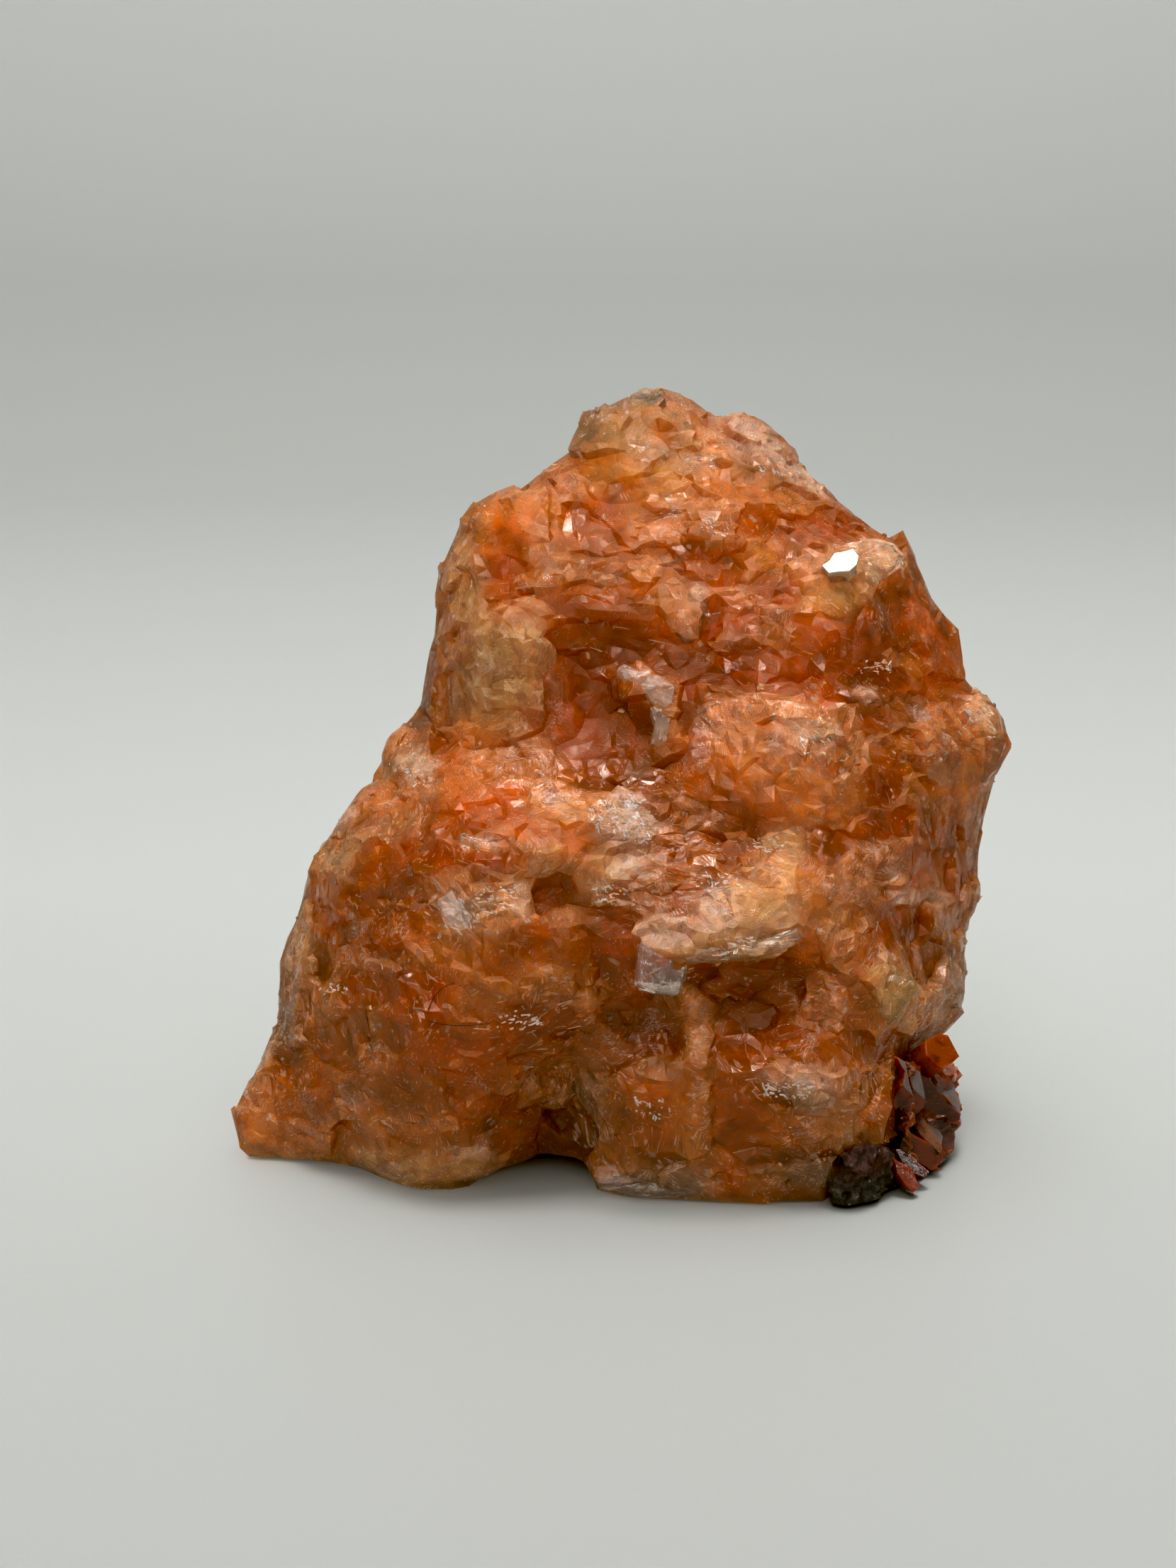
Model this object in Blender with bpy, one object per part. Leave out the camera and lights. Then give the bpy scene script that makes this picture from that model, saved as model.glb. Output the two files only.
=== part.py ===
"""Polyhalite with sylvite: a broken lump of orange to red salt rock that stands on its own flat underside.

Three solids: the intergrown mass, a fan of red-brown blades at its lower right, and a remnant of dark host rock under the same corner.
The mass is described by a front elevation: its outline and the depths of its front and back are read in drawing units, along lines of sight that meet at one eye point, and then turned into metres.
"""

import math
import random

import bmesh
import bpy
import numpy as np
from mathutils import Matrix, Vector
from mathutils.geometry import delaunay_2d_cdt

# ---------------------------------------------------------------- driving dimensions
MM = 0.001
WIDTH = 49.0 * MM  # greatest width of the lump, left toe to right shoulder
OUTLINE_UNITS = 1096.0  # the same width in drawing units
EYE_DISTANCE = 170.0 * MM  # from the middle of the lump to the eye point of the elevation
EYE_PITCH = math.radians(14.0)  # how far the elevation looks down
EYE_TARGET_HEIGHT = 24.1 * MM
DRAWING_CENTRE = (829.5, 1106.0)
MIDDLE_UNIT = 877.0  # the drawing unit, left to right, that is the middle of the lump
FRONT_SPACING = 27.0  # between surface points, in drawing units
BACK_SPACING = 33.0
SHOULDER = 120.0  # width of the rounded shoulder inside the outline, in drawing units
GAP = 0.3 * MM  # left between neighbouring solids
SEED = 20417

UNITS_PER_METRE = OUTLINE_UNITS / WIDTH
FOCAL_UNITS = UNITS_PER_METRE * EYE_DISTANCE
EYE = Vector(
    (
        (DRAWING_CENTRE[0] - MIDDLE_UNIT) / UNITS_PER_METRE,
        -EYE_DISTANCE * math.cos(EYE_PITCH),
        EYE_TARGET_HEIGHT + EYE_DISTANCE * math.sin(EYE_PITCH),
    )
)

# ---------------------------------------------------------------- front elevation
# Outline of the mass, clockwise from the lower left corner. The last points run below the resting plane and are cut off there.
OUTLINE = [
    (334, 1631), (329, 1610), (331, 1590), (332, 1565), (337, 1545), (350, 1522),
    (370, 1503), (370, 1480), (384, 1462), (388, 1436), (394, 1396), (398, 1356),
    (408, 1324), (421, 1295), (422, 1271), (433, 1235), (457, 1187), (489, 1139),
    (511, 1105), (541, 1100), (537, 1066), (541, 1042), (565, 1022), (585, 1002),
    (594, 994), (597, 922), (605, 906), (613, 874), (615, 841), (621, 797),
    (633, 769), (646, 737), (658, 713), (666, 703), (694, 701), (706, 685),
    (738, 681), (758, 673), (774, 653), (790, 642), (810, 641), (810, 608),
    (822, 578), (850, 575), (871, 568), (887, 554), (915, 548), (943, 554),
    (959, 551), (983, 560), (993, 580), (1007, 588), (1031, 583), (1063, 580),
    (1083, 586), (1095, 604), (1112, 624), (1128, 645), (1144, 669), (1164, 685),
    (1184, 697), (1196, 717), (1224, 737), (1236, 749), (1264, 757), (1282, 761),
    (1290, 777), (1298, 797), (1304, 825), (1321, 849), (1337, 870), (1351, 874),
    (1357, 906), (1362, 938), (1362, 966), (1385, 976), (1413, 998), (1425, 1020),
    (1421, 1058), (1405, 1099), (1397, 1119), (1389, 1163), (1381, 1203), (1377, 1235),
    (1385, 1259), (1386, 1275), (1373, 1291), (1365, 1312), (1362, 1340), (1367, 1364),
    (1359, 1408), (1352, 1432), (1341, 1458), (1322, 1476), (1312, 1520), (1308, 1600),
    (1306, 1700), (1304, 1800), (1100, 1810), (840, 1800), (600, 1800), (350, 1790),
]

# Depth of the front face at single places: left-right unit, up-down unit, millimetres behind the middle plane.
FRONT = [
    (850, 590, 7.5), (930, 565, 8.0), (1050, 600, 8.2), (1130, 665, 7.6), (700, 705, 6.5),
    (760, 720, 4.6), (900, 680, 4.2), (1000, 700, 3.6), (1150, 745, 4.0), (1250, 785, 5.6),
    (650, 790, 5.4), (720, 800, 3.0), (850, 800, 1.6), (1000, 800, 0.5), (1150, 820, 0.6),
    (1260, 860, 2.0), (1330, 900, 5.4), (620, 900, 5.0), (680, 930, 1.4), (760, 950, 0.2),
    (880, 930, -0.5), (1000, 920, -1.4), (1130, 930, -1.6), (1250, 950, 0.0), (1340, 980, 3.8),
    (605, 1000, 5.6), (660, 1050, 1.0), (740, 1010, -0.4), (850, 1040, -0.6), (950, 1040, -2.4),
    (1100, 1050, -4.6), (1200, 1060, -3.6), (1290, 1050, -1.0), (1390, 1050, 4.2),
    (560, 1060, 5.2), (540, 1120, 1.0), (600, 1115, -2.6), (650, 1100, -4.2), (740, 1140, -6.8),
    (850, 1140, -6.2), (930, 1135, -5.4), (1060, 1155, -6.0), (1200, 1165, -5.6), (1300, 1160, -2.4),
    (1375, 1180, 3.6), (470, 1200, -0.8), (560, 1200, -5.4), (660, 1210, -8.0), (760, 1230, -9.0),
    (870, 1230, -8.0), (1000, 1230, -7.8), (1110, 1250, -9.2), (1220, 1250, -7.6), (1310, 1250, -2.6),
    (430, 1320, -0.8), (520, 1330, -6.4), (640, 1340, -9.4), (760, 1340, -10.0), (935, 1360, -11.4),
    (1050, 1335, -10.8), (1050, 1400, -8.6), (1180, 1350, -9.4), (1255, 1410, -9.0), (1330, 1390, -1.6),
    (410, 1430, -1.0), (500, 1430, -6.6), (620, 1440, -10.0), (740, 1440, -10.4), (900, 1440, -9.2),
    (1100, 1450, -10.0), (1230, 1470, -9.2), (1300, 1470, -3.0), (370, 1540, -1.4), (460, 1540, -6.0),
    (580, 1550, -9.4), (700, 1550, -9.8), (800, 1570, -6.0), (900, 1560, -10.2), (1050, 1560, -10.8),
    (1180, 1550, -11.0), (1250, 1560, -9.4), (345, 1615, -3.7), (450, 1625, -3.2), (505, 1640, -4.3), (571, 1660, -7.2),
    (658, 1660, -7.2), (760, 1640, -4.8), (850, 1670, -8.0), (1000, 1690, -9.3), (1100, 1692, -9.4), (1230, 1695, -10.2),
    (1290, 1690, -8.2), (345, 1780, -3.4), (450, 1780, -3.0), (571, 1780, -7.2), (760, 1780, -5.0), (1000, 1780, -9.2),
    (1230, 1780, -10.0),
]

# Depth of the hidden back, the same way.
BACK = [
    (850, 620, 12.6), (1000, 640, 13.4), (700, 760, 12.0), (900, 780, 14.6), (1150, 790, 13.6),
    (1280, 880, 11.6), (650, 950, 12.8), (800, 980, 15.8), (980, 940, 16.2), (1200, 980, 15.0),
    (1350, 1050, 11.0), (560, 1150, 9.6), (700, 1180, 14.2), (880, 1220, 16.8), (1080, 1180, 15.2),
    (1180, 1330, 15.8), (1300, 1200, 12.0), (480, 1350, 8.6), (650, 1400, 12.2), (900, 1450, 16.4),
    (1150, 1500, 15.6), (1310, 1400, 9.8), (400, 1550, 5.4), (600, 1600, 10.2), (900, 1650, 14.6),
    (1150, 1650, 14.4), (1260, 1600, 8.0), (600, 1790, 9.0), (1150, 1790, 12.8),
]

# Depth of the outline itself.
RIM = [
    (334, 1631, -3.2), (330, 1590, -1.6), (350, 1522, 0.2), (388, 1436, 2.0), (420, 1280, 3.0),
    (457, 1187, 3.4), (511, 1105, 3.6), (541, 1060, 6.2), (594, 994, 8.0), (605, 906, 8.2),
    (633, 769, 8.2), (666, 703, 8.4), (758, 673, 8.6), (810, 608, 9.8), (887, 554, 9.8),
    (959, 551, 10.2), (1063, 580, 10.4), (1144, 669, 10.2), (1236, 749, 9.2), (1298, 797, 8.6),
    (1351, 874, 8.0), (1362, 966, 7.0), (1425, 1020, 6.4), (1397, 1119, 6.2), (1377, 1235, 5.4),
    (1373, 1291, 4.6), (1359, 1408, 3.6), (1341, 1458, 2.6), (1312, 1520, 0.6), (1308, 1600, -0.6),
    (1306, 1700, -2.0), (1304, 1800, -2.0), (1100, 1810, 0.0), (840, 1800, 0.0), (600, 1800, 0.0),
    (350, 1790, -2.4),
]

# Grains that stand out of the front face: centre, half width, half height, turn in degrees, how far proud in mm, then how much the face turns to the right and upwards in degrees.
GRAINS = [
    (880, 610, 62, 50, 0, 0.9, -8, 22), (1060, 620, 48, 34, 20, 0.7, 18, 30), (1010, 640, 30, 44, 0, 0.5, 0, 14),
    (690, 740, 44, 50, -20, 0.7, -24, 10), (760, 720, 40, 34, 0, 0.5, -6, 24), (640, 820, 34, 44, -8, 0.6, -32, 6),
    (690, 960, 62, 92, 6, 1.1, -12, -4), (830, 990, 70, 92, 0, -0.5, 6, 8), (860, 830, 60, 44, 8, 0.6, 4, 20),
    (970, 870, 22, 36, 12, 1.3, 10, 12), (1010, 745, 40, 34, -10, 0.6, 0, 26), (1190, 795, 34, 24, 10, 0.9, 4, 30),
    (1245, 800, 34, 30, 0, 0.5, 18, 26), (1090, 790, 40, 44, 0, -0.5, 0, 0), (1170, 860, 46, 34, 0, 0.3, 6, 10),
    (1285, 880, 44, 60, -12, -0.3, 26, 4), (1090, 900, 70, 50, 10, 0.5, 8, 12), (1240, 970, 44, 30, 8, -0.8, 8, 22),
    (905, 985, 34, 44, -30, 1.3, -6, 10), (1100, 1070, 100, 78, 6, 1.4, -4, 10), (1205, 1060, 34, 60, 0, 0.6, 22, 0),
    (1370, 1040, 56, 58, -18, 0.9, 30, 8), (1290, 1010, 40, 34, 0, -0.5, 14, 12), (565, 1055, 28, 34, 10, 0.8, -24, 10),
    (600, 1085, 26, 18, 0, 0.5, -8, 30), (740, 1075, 66, 40, -22, -0.4, -6, 34), (600, 1170, 84, 56, 30, 0.5, -14, 14),
    (660, 1190, 60, 30, 8, 0.4, -4, 18), (790, 1190, 60, 56, 0, 0.7, -6, 12), (870, 1150, 52, 34, 8, 0.9, 0, 32),
    (932, 1136, 24, 22, 0, 0.5, 0, 18), (775, 1265, 32, 28, 0, -1.0, 0, -8), (690, 1290, 60, 34, 14, 0.7, -8, 16),
    (850, 1250, 56, 24, 0, 0.7, 0, 34), (960, 1200, 70, 44, 10, 0.3, 0, 24), (1080, 1280, 54, 50, 6, 1.0, -6, 8),
    (1190, 1230, 52, 46, 0, 0.5, 10, 12), (1215, 1330, 46, 50, -35, 0.7, 12, 4), (937, 1362, 33, 40, 4, 1.2, -4, -6),
    (1040, 1318, 76, 22, -6, 1.3, 0, 40), (1060, 1400, 90, 46, 0, -0.8, 0, -10), (1255, 1408, 34, 40, 12, 1.3, 8, 6),
    (475, 1270, 26, 34, 0, 0.8, -26, 4), (425, 1390, 30, 90, 8, 0.5, -34, 0), (500, 1190, 52, 24, -40, 0.5, -22, 24),
    (385, 1485, 18, 24, 0, 0.6, -30, 10), (390, 1560, 50, 56, 0, 0.6, -22, 6), (600, 1440, 110, 110, 0, 0.3, -6, 0),
    (500, 1500, 60, 60, 0, -0.4, -14, 4), (760, 1540, 46, 44, 0, -0.7, 12, 0), (720, 1420, 44, 70, 6, 0.4, -4, 4),
    (860, 1330, 44, 60, 0, -0.6, 0, 4), (880, 1450, 60, 50, -30, -0.5, 4, -6), (865, 1560, 34, 100, 0, 0.9, -10, 2),
    (960, 1560, 46, 90, 0, 0.5, 6, 0), (1060, 1560, 60, 70, 0, 0.3, 0, 0), (1120, 1520, 70, 30, 12, 0.8, 0, 28),
    (1190, 1470, 60, 44, 0, 0.3, 0, 6), (1215, 1570, 44, 50, 0, 0.5, 10, 0), (620, 1630, 90, 34, -4, 0.8, -4, -14),
    (880, 1665, 50, 24, 6, 0.8, -4, -10), (1010, 1660, 60, 24, 0, 0.5, 0, -10), (1337, 1385, 24, 46, 32, 0.7, 34, 10),
    (1300, 1300, 44, 50, 0, -0.3, 24, 0), (1310, 1200, 50, 50, 0, 0.4, 26, 6),
]


def at(u, v, depth):
    """The point on the line of sight through a drawing place, a number of millimetres behind the middle plane."""
    right = (u - DRAWING_CENTRE[0]) / FOCAL_UNITS
    up = (DRAWING_CENTRE[1] - v) / FOCAL_UNITS
    along = math.cos(EYE_PITCH) + up * math.sin(EYE_PITCH)
    rise = -math.sin(EYE_PITCH) + up * math.cos(EYE_PITCH)
    t = (depth * MM - EYE.y) / along
    return Vector((EYE.x + right * t, depth * MM, EYE.z + rise * t))


def smooth_field(places):
    """A surface through all the given depths, as a function of drawing place."""
    known = np.array(places, float)
    gaps = np.linalg.norm(known[:, None, :2] - known[None, :, :2], axis=2)
    n = len(known)
    system = np.zeros((n + 3, n + 3))
    system[:n, :n] = gaps
    system[:n, n] = 1.0
    system[:n, n + 1 : n + 3] = known[:, :2] / 1000
    system[n:, :n] = system[:n, n:].T
    right_side = np.concatenate([known[:, 2], np.zeros(3)])
    weights = np.linalg.solve(system, right_side)

    def depth(points):
        points = np.atleast_2d(points)
        reach = np.linalg.norm(points[:, None] - known[None, :, :2], axis=2)
        flat = np.column_stack([np.ones(len(points)), points / 1000])
        return reach @ weights[:n] + flat @ weights[n:]

    return depth


def to_outline(points, outline):
    """Distance from each point to the nearest side of the outline, and whether it is inside."""
    a = outline
    b = np.roll(outline, -1, axis=0)
    side = b - a
    t = ((points[:, None] - a) * side).sum(2) / (side**2).sum(1)
    foot = a + np.clip(t, 0, 1)[..., None] * side
    near = np.linalg.norm(points[:, None] - foot, axis=2).min(1)
    above = (a[:, 1] > points[:, 1:2]) != (b[:, 1] > points[:, 1:2])
    fall = np.where(side[:, 1] == 0, 1e-9, side[:, 1])
    cross = a[:, 0] + (points[:, 1:2] - a[:, 1]) * side[:, 0] / fall
    inside = ((above & (points[:, :1] < cross)).sum(1) % 2) == 1
    return near, inside


def scatter(spacing, rng, outline):
    """Jittered hexagonal points inside the outline, none too near it."""
    low, high = outline.min(0), outline.max(0)
    rows = []
    for j, y in enumerate(np.arange(low[1], high[1], spacing * 0.866)):
        xs = np.arange(low[0] + (j % 2) * spacing / 2, high[0], spacing)
        rows += [(x, y) for x in xs]
    points = np.array(rows) + rng.uniform(-0.3, 0.3, (len(rows), 2)) * spacing
    near, inside = to_outline(points, outline)
    kept = points[inside & (near > spacing * 0.8)]
    return np.vstack([kept, edge_band(outline, rng)])


def edge_band(outline, rng):
    """One row of points just inside the outline, so that the sides of the lump stand steep behind it."""
    nxt, last = np.roll(outline, -1, axis=0), np.roll(outline, 1, axis=0)
    along = nxt - last
    normal = np.stack([-along[:, 1], along[:, 0]], 1) / np.linalg.norm(along, axis=1)[:, None]
    band = outline + normal * rng.uniform(8, 13, (len(outline), 1))
    near, inside = to_outline(band, outline)
    band = band[inside & (near > 6)]
    keep = []
    for point in band:
        if all(np.linalg.norm(point - other) > 11 for other in keep):
            keep.append(point)
    return np.array(keep)


def grain_relief(points, grains):
    """Millimetres that each point stands proud: it takes the flat face of the grain it belongs to."""
    best = np.full(len(points), 1e9)
    proud = np.zeros(len(points))
    for u, v, wide, tall, turn, lift, to_right, to_up in grains:
        c, s = math.cos(math.radians(turn)), math.sin(math.radians(turn))
        du, dv = points[:, 0] - u, points[:, 1] - v
        along, across = (c * du + s * dv) / wide, (-s * du + c * dv) / tall
        reach = np.sqrt(along**2 + across**2)
        face = lift + (
            -np.tan(math.radians(to_right)) * du + np.tan(math.radians(to_up)) * dv
        ) * (1000 / UNITS_PER_METRE) * 0.55
        mine = reach < np.minimum(best, 1.25)
        proud[mine] = face[mine]
        best[mine] = reach[mine]
    return np.clip(proud, -1.8, 1.8), best


def softened(points, relief, spacing):
    """The relief with its steps eased over one spacing, so that no step leaves a fin."""
    gaps = np.linalg.norm(points[:, None] - points[None], axis=2)
    share = np.exp(-((gaps / (spacing * 0.75)) ** 2))
    return share @ relief / share.sum(1)


def loose_grains(count, rng, outline, size):
    """Grains of the same habit, spread at random where none is placed by hand."""
    low, high = outline.min(0), outline.max(0)
    grains = []
    while len(grains) < count:
        place = rng.uniform(low, high)
        if to_outline(place[None], outline)[1][0]:
            wide, tall = rng.uniform(0.6, 1.5, 2) * size
            grains.append(
                (place[0], place[1], wide, tall, rng.uniform(0, 180),
                 rng.uniform(-0.6, 0.8), rng.uniform(-26, 26), rng.uniform(-20, 28))
            )
    return grains


def mass_mesh():
    """The whole lump before its underside is cut: a front sheet and a back sheet that share the outline."""
    rng = np.random.default_rng(SEED)
    outline = np.array(OUTLINE, float)
    front, back, rim = smooth_field(FRONT), smooth_field(BACK), smooth_field(RIM)
    edge_depth = rim(outline)
    loops = len(outline)
    mesh = bmesh.new()
    ring = [mesh.verts.new(at(u, v, y)) for (u, v), y in zip(outline, edge_depth)]
    for sheet, spacing in ((front, FRONT_SPACING), (back, BACK_SPACING)):
        is_front = sheet is front
        inner = scatter(spacing, rng, outline)
        near, _ = to_outline(inner, outline)
        grains = loose_grains(70 if is_front else 90, rng, outline, 46)
        loose, _ = grain_relief(inner, grains)
        if is_front:
            placed, reach = grain_relief(inner, GRAINS)
            relief = np.where(reach < 1.25, placed, loose)
        else:
            relief = loose * 1.4
        relief = softened(inner, relief, spacing)
        share = np.clip(near / SHOULDER, 0, 1)
        rise = np.sqrt(1 - (1 - share) ** 2.2)
        edge = rim(inner)
        depth = edge + (sheet(inner) - edge) * rise
        depth += (-1 if is_front else 1) * relief * np.clip(near / 40, 0.15, 1)
        if is_front:
            depth = np.minimum(depth, edge - 0.25)
        else:
            depth = np.maximum(depth, edge + 0.25)
        flat = [Vector(p) for p in np.vstack([outline, inner])]
        points, _, faces, sources, _, _ = delaunay_2d_cdt(
            flat, [], [list(range(loops))[::-1]], 1, 1e-6
        )
        corner = []
        for source in sources:
            first = source[0]
            if first < loops:
                corner.append(ring[first])
            else:
                i = first - loops
                corner.append(mesh.verts.new(at(inner[i, 0], inner[i, 1], depth[i])))
        for face in faces:
            mesh.faces.new([corner[k] for k in face])
    bmesh.ops.recalc_face_normals(mesh, faces=mesh.faces)
    return mesh


def make(name, mesh, colour=None, roughness=0.4, hidden=False):
    """An object from a bmesh, with its own material, or a cutter that isn't part of the specimen."""
    data = bpy.data.meshes.new(name)
    mesh.to_mesh(data)
    mesh.free()
    thing = bpy.data.objects.new(name, data)
    bpy.context.scene.collection.objects.link(thing)
    if hidden:
        thing.hide_render = True
        thing.display_type = "WIRE"
        return thing
    material = bpy.data.materials.new(name)
    material.use_nodes = True
    shader = material.node_tree.nodes["Principled BSDF"]
    shader.inputs["Base Color"].default_value = (*colour, 1.0)
    shader.inputs["Roughness"].default_value = roughness
    shader.inputs["Metallic"].default_value = 0.0
    data.materials.append(material)
    return thing


def hull(points):
    mesh = bmesh.new()
    for point in points:
        mesh.verts.new(point)
    result = bmesh.ops.convex_hull(mesh, input=mesh.verts)
    loose = [v for v in mesh.verts if not v.link_faces]
    bmesh.ops.delete(mesh, geom=loose, context="VERTS")
    bmesh.ops.triangulate(mesh, faces=mesh.faces)
    bmesh.ops.recalc_face_normals(mesh, faces=mesh.faces)
    return mesh


def grown(points, distance):
    """The same corners moved out from their middle, so that every face of their hull moves by at least the distance."""
    middle = sum(points, Vector()) / len(points)
    body = hull(points)
    nearest = min(
        (face.calc_center_median() - middle).dot(face.normal) for face in body.faces
    )
    body.free()
    scale = 1 + distance / nearest
    return [middle + (point - middle) * scale for point in points]


def cut(thing, other, operation):
    modifier = thing.modifiers.new(other.name, "BOOLEAN")
    modifier.operation = operation
    modifier.solver = "EXACT"
    modifier.object = other


# ---------------------------------------------------------------- blades
# Each blade: drawing place and depth of its middle, length, width and thickness in mm, dip of its long axis below level and turn towards the viewer in degrees.
BLADES = [
    (1279, 1532, -3.4, 6.6, 4.8, 0.75, 72, 22),
    (1297, 1542, -2.2, 6.2, 5.2, 0.80, 66, 18),
    (1322, 1540, -0.6, 5.8, 5.8, 0.95, 56, 12),
    (1316, 1500, 1.2, 5.0, 4.8, 0.90, 40, 6),
    (1312, 1588, -1.8, 5.8, 5.4, 0.85, 50, 16),
    (1299, 1612, -3.2, 6.0, 5.2, 0.80, 46, 20),
    (1306, 1638, -3.8, 5.4, 4.8, 0.85, 40, 22),
    (1292, 1660, -6.0, 5.0, 4.2, 0.80, 46, 28),
]


def blade(u, v, depth, length, width, thick, dip, turn):
    """A flat crystal with a six-sided outline, its corners cut to a blunt point."""
    along, across, through = length * MM / 2, width * MM / 2, thick * MM / 2
    shape = [
        (1.0, 0.15), (0.7, 0.8), (-0.3, 1.0), (-1.0, 0.4), (-1.0, -0.5), (-0.2, -1.0), (0.75, -0.7),
    ]
    frame = (
        Matrix.Translation(at(u, v, depth))
        @ Matrix.Rotation(math.radians(-turn), 4, "Z")
        @ Matrix.Rotation(math.radians(dip), 4, "Y")
    )
    points = []
    for a, c in shape:
        for side in (-1, 1):
            inset = 1.0 if side < 0 else 0.9
            points.append(
                frame @ Vector((a * along * inset, c * across * inset, side * through))
            )
    return hull(points)


def ground_points(low):
    return [
        Vector((x * MM, y * MM, z * MM))
        for x in (-40, 40) for y in (-40, 40) for z in (low, 0)
    ]


def clear_scene():
    for thing in list(bpy.data.objects):
        bpy.data.objects.remove(thing, do_unlink=True)


def build():
    clear_scene()
    random.seed(SEED)

    below = make("below_rest", hull(ground_points(-30)), hidden=True)
    mass = make("polyhalite_mass", mass_mesh(), (0.62, 0.19, 0.05), 0.30)
    whole = mass.data.copy()
    cut(mass, below, "DIFFERENCE")

    # Hollow under the front edge, between the left toe and the right block, and a slight lift under the left corner.
    mouth = [at(662, 1672, -7.2), at(700, 1652, -7.0), at(732, 1640, -6.6), at(812, 1634, -6.6), at(838, 1652, -8.2), at(842, 1690, -8.6)]
    deep = [Vector((p.x * 0.96 - 0.2 * MM, 2.0 * MM, p.z * 0.35 - 0.4 * MM)) for p in mouth]
    near = [Vector((p.x, -15 * MM, p.z + (p.y + 15 * MM) * 0.10)) for p in mouth]
    under = [Vector((p.x, p.y, -2 * MM)) for p in near + deep]
    hollow = make("front_hollow", hull(near + deep + under), hidden=True)
    cut(mass, hollow, "DIFFERENCE")
    lift = hull(
        [Vector((x * MM, y * MM, z * MM)) for x, y, z in (
            (-30, -14, -1), (-30, 14, -1), (-16.4, -14, -1), (-16.4, 14, -1),
            (-30, -14, 0.75), (-30, 14, 0.75), (-16.4, -14, 0.0), (-16.4, 14, 0.0),
        )]
    )
    corner = make("corner_lift", lift, hidden=True)
    cut(mass, corner, "DIFFERENCE")

    # Seat of the blades behind the sharp edge of the front, and seat of the host rock under the corner.
    seat = [
        at(1264, 1484, -10.5), at(1264, 1606, -12.5), at(1294, 1478, 3.0), at(1286, 1700, 3.0),
        at(1400, 1470, -12.0), at(1400, 1604, -12.0), at(1400, 1470, 3.0), at(1400, 1710, 3.0),
        at(1302, 1740, -10.0), at(1400, 1740, -10.0),
    ]
    blade_seat = make("blade_seat", hull(grown(seat, GAP)), hidden=True)
    rock = [
        at(1192, 1640, -14), at(1206, 1606, -14), at(1256, 1600, -14), at(1284, 1630, -13),
        at(1304, 1700, -11), at(1308, 1740, -11), at(1180, 1740, -14), at(1158, 1680, -14),
        at(1212, 1640, -3.5), at(1276, 1640, -3.5), at(1290, 1700, -2.0), at(1204, 1730, -2.0),
    ]
    rock_seat = make("rock_seat", hull(grown(rock, GAP)), hidden=True)
    cut(mass, blade_seat, "DIFFERENCE")
    cut(mass, rock_seat, "DIFFERENCE")

    # The host rock has the lump's own surface, inside its seat.
    matrix_mesh = bmesh.new()
    matrix_mesh.from_mesh(whole)
    matrix = make("dark_matrix", matrix_mesh, (0.035, 0.035, 0.035), 0.55)
    rock_space = make("rock_space", hull(rock), hidden=True)
    cut(matrix, rock_space, "INTERSECT")
    cut(matrix, below, "DIFFERENCE")
    cut(matrix, blade_seat, "DIFFERENCE")

    # Root of the blades, then the blades joined to it one by one.
    root = hull(
        [at(u, v, y) for u, v, y in (
            (1267, 1500, -6.5), (1268, 1600, -7.5), (1276, 1640, -7.8), (1292, 1486, 2.4), (1288, 1690, 2.4),
            (1306, 1492, -2.0), (1306, 1650, -4.0), (1312, 1492, 2.4), (1310, 1690, 2.4),
            (1290, 1690, -7.0), (1304, 1690, -5.6),
        )]
    )
    blades = make("bladed_crystals", root, (0.30, 0.075, 0.045), 0.18)
    for index, row in enumerate(BLADES):
        one = make(f"blade_{index + 1}", blade(*row), hidden=True)
        cut(blades, one, "UNION")
    inside_seat = make("blade_space", hull(seat), hidden=True)
    cut(blades, inside_seat, "INTERSECT")
    cut(blades, below, "DIFFERENCE")

    # The frame's origin is the middle of the resting plane under the whole lump.
    solids = [mass, matrix, blades]
    bpy.context.view_layer.update()
    graph = bpy.context.evaluated_depsgraph_get()
    corners = []
    for thing in solids:
        shape = thing.evaluated_get(graph).to_mesh()
        corners += [thing.matrix_world @ v.co for v in shape.vertices]
        thing.evaluated_get(graph).to_mesh_clear()
    low = [min(c[k] for c in corners) for k in range(3)]
    high = [max(c[k] for c in corners) for k in range(3)]
    shift = Vector((-(low[0] + high[0]) / 2, -(low[1] + high[1]) / 2, 0.0))
    for thing in bpy.data.objects:
        thing.location += shift
    print("shift mm", [round(s / MM, 3) for s in shift], "size mm", [round((h - l) / MM, 2) for h, l in zip(high, low)])


build()
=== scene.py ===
import math

import bmesh
import bpy
import numpy as np
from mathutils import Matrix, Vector
from mathutils.bvhtree import BVHTree
from mathutils.kdtree import KDTree


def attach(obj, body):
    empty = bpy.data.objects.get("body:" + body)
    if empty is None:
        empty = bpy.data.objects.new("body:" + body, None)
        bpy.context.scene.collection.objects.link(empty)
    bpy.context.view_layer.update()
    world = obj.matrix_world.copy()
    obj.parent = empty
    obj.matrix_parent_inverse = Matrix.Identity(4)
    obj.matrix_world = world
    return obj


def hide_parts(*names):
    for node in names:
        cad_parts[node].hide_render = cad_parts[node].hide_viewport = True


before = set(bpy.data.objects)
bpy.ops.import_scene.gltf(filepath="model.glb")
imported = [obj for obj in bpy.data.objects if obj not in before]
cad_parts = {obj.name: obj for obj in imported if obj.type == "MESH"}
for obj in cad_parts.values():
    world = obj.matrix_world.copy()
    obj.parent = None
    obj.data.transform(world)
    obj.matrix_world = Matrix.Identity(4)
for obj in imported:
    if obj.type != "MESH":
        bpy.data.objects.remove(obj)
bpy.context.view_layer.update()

# ------------------------------------------------------------------ the eye
# The elevation that the lump was drawn in: places are left-right and up-down units of a 1659 x 2212 frame.
EYE = np.array((-0.00234331, -0.16779567, 0.06522672))
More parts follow.
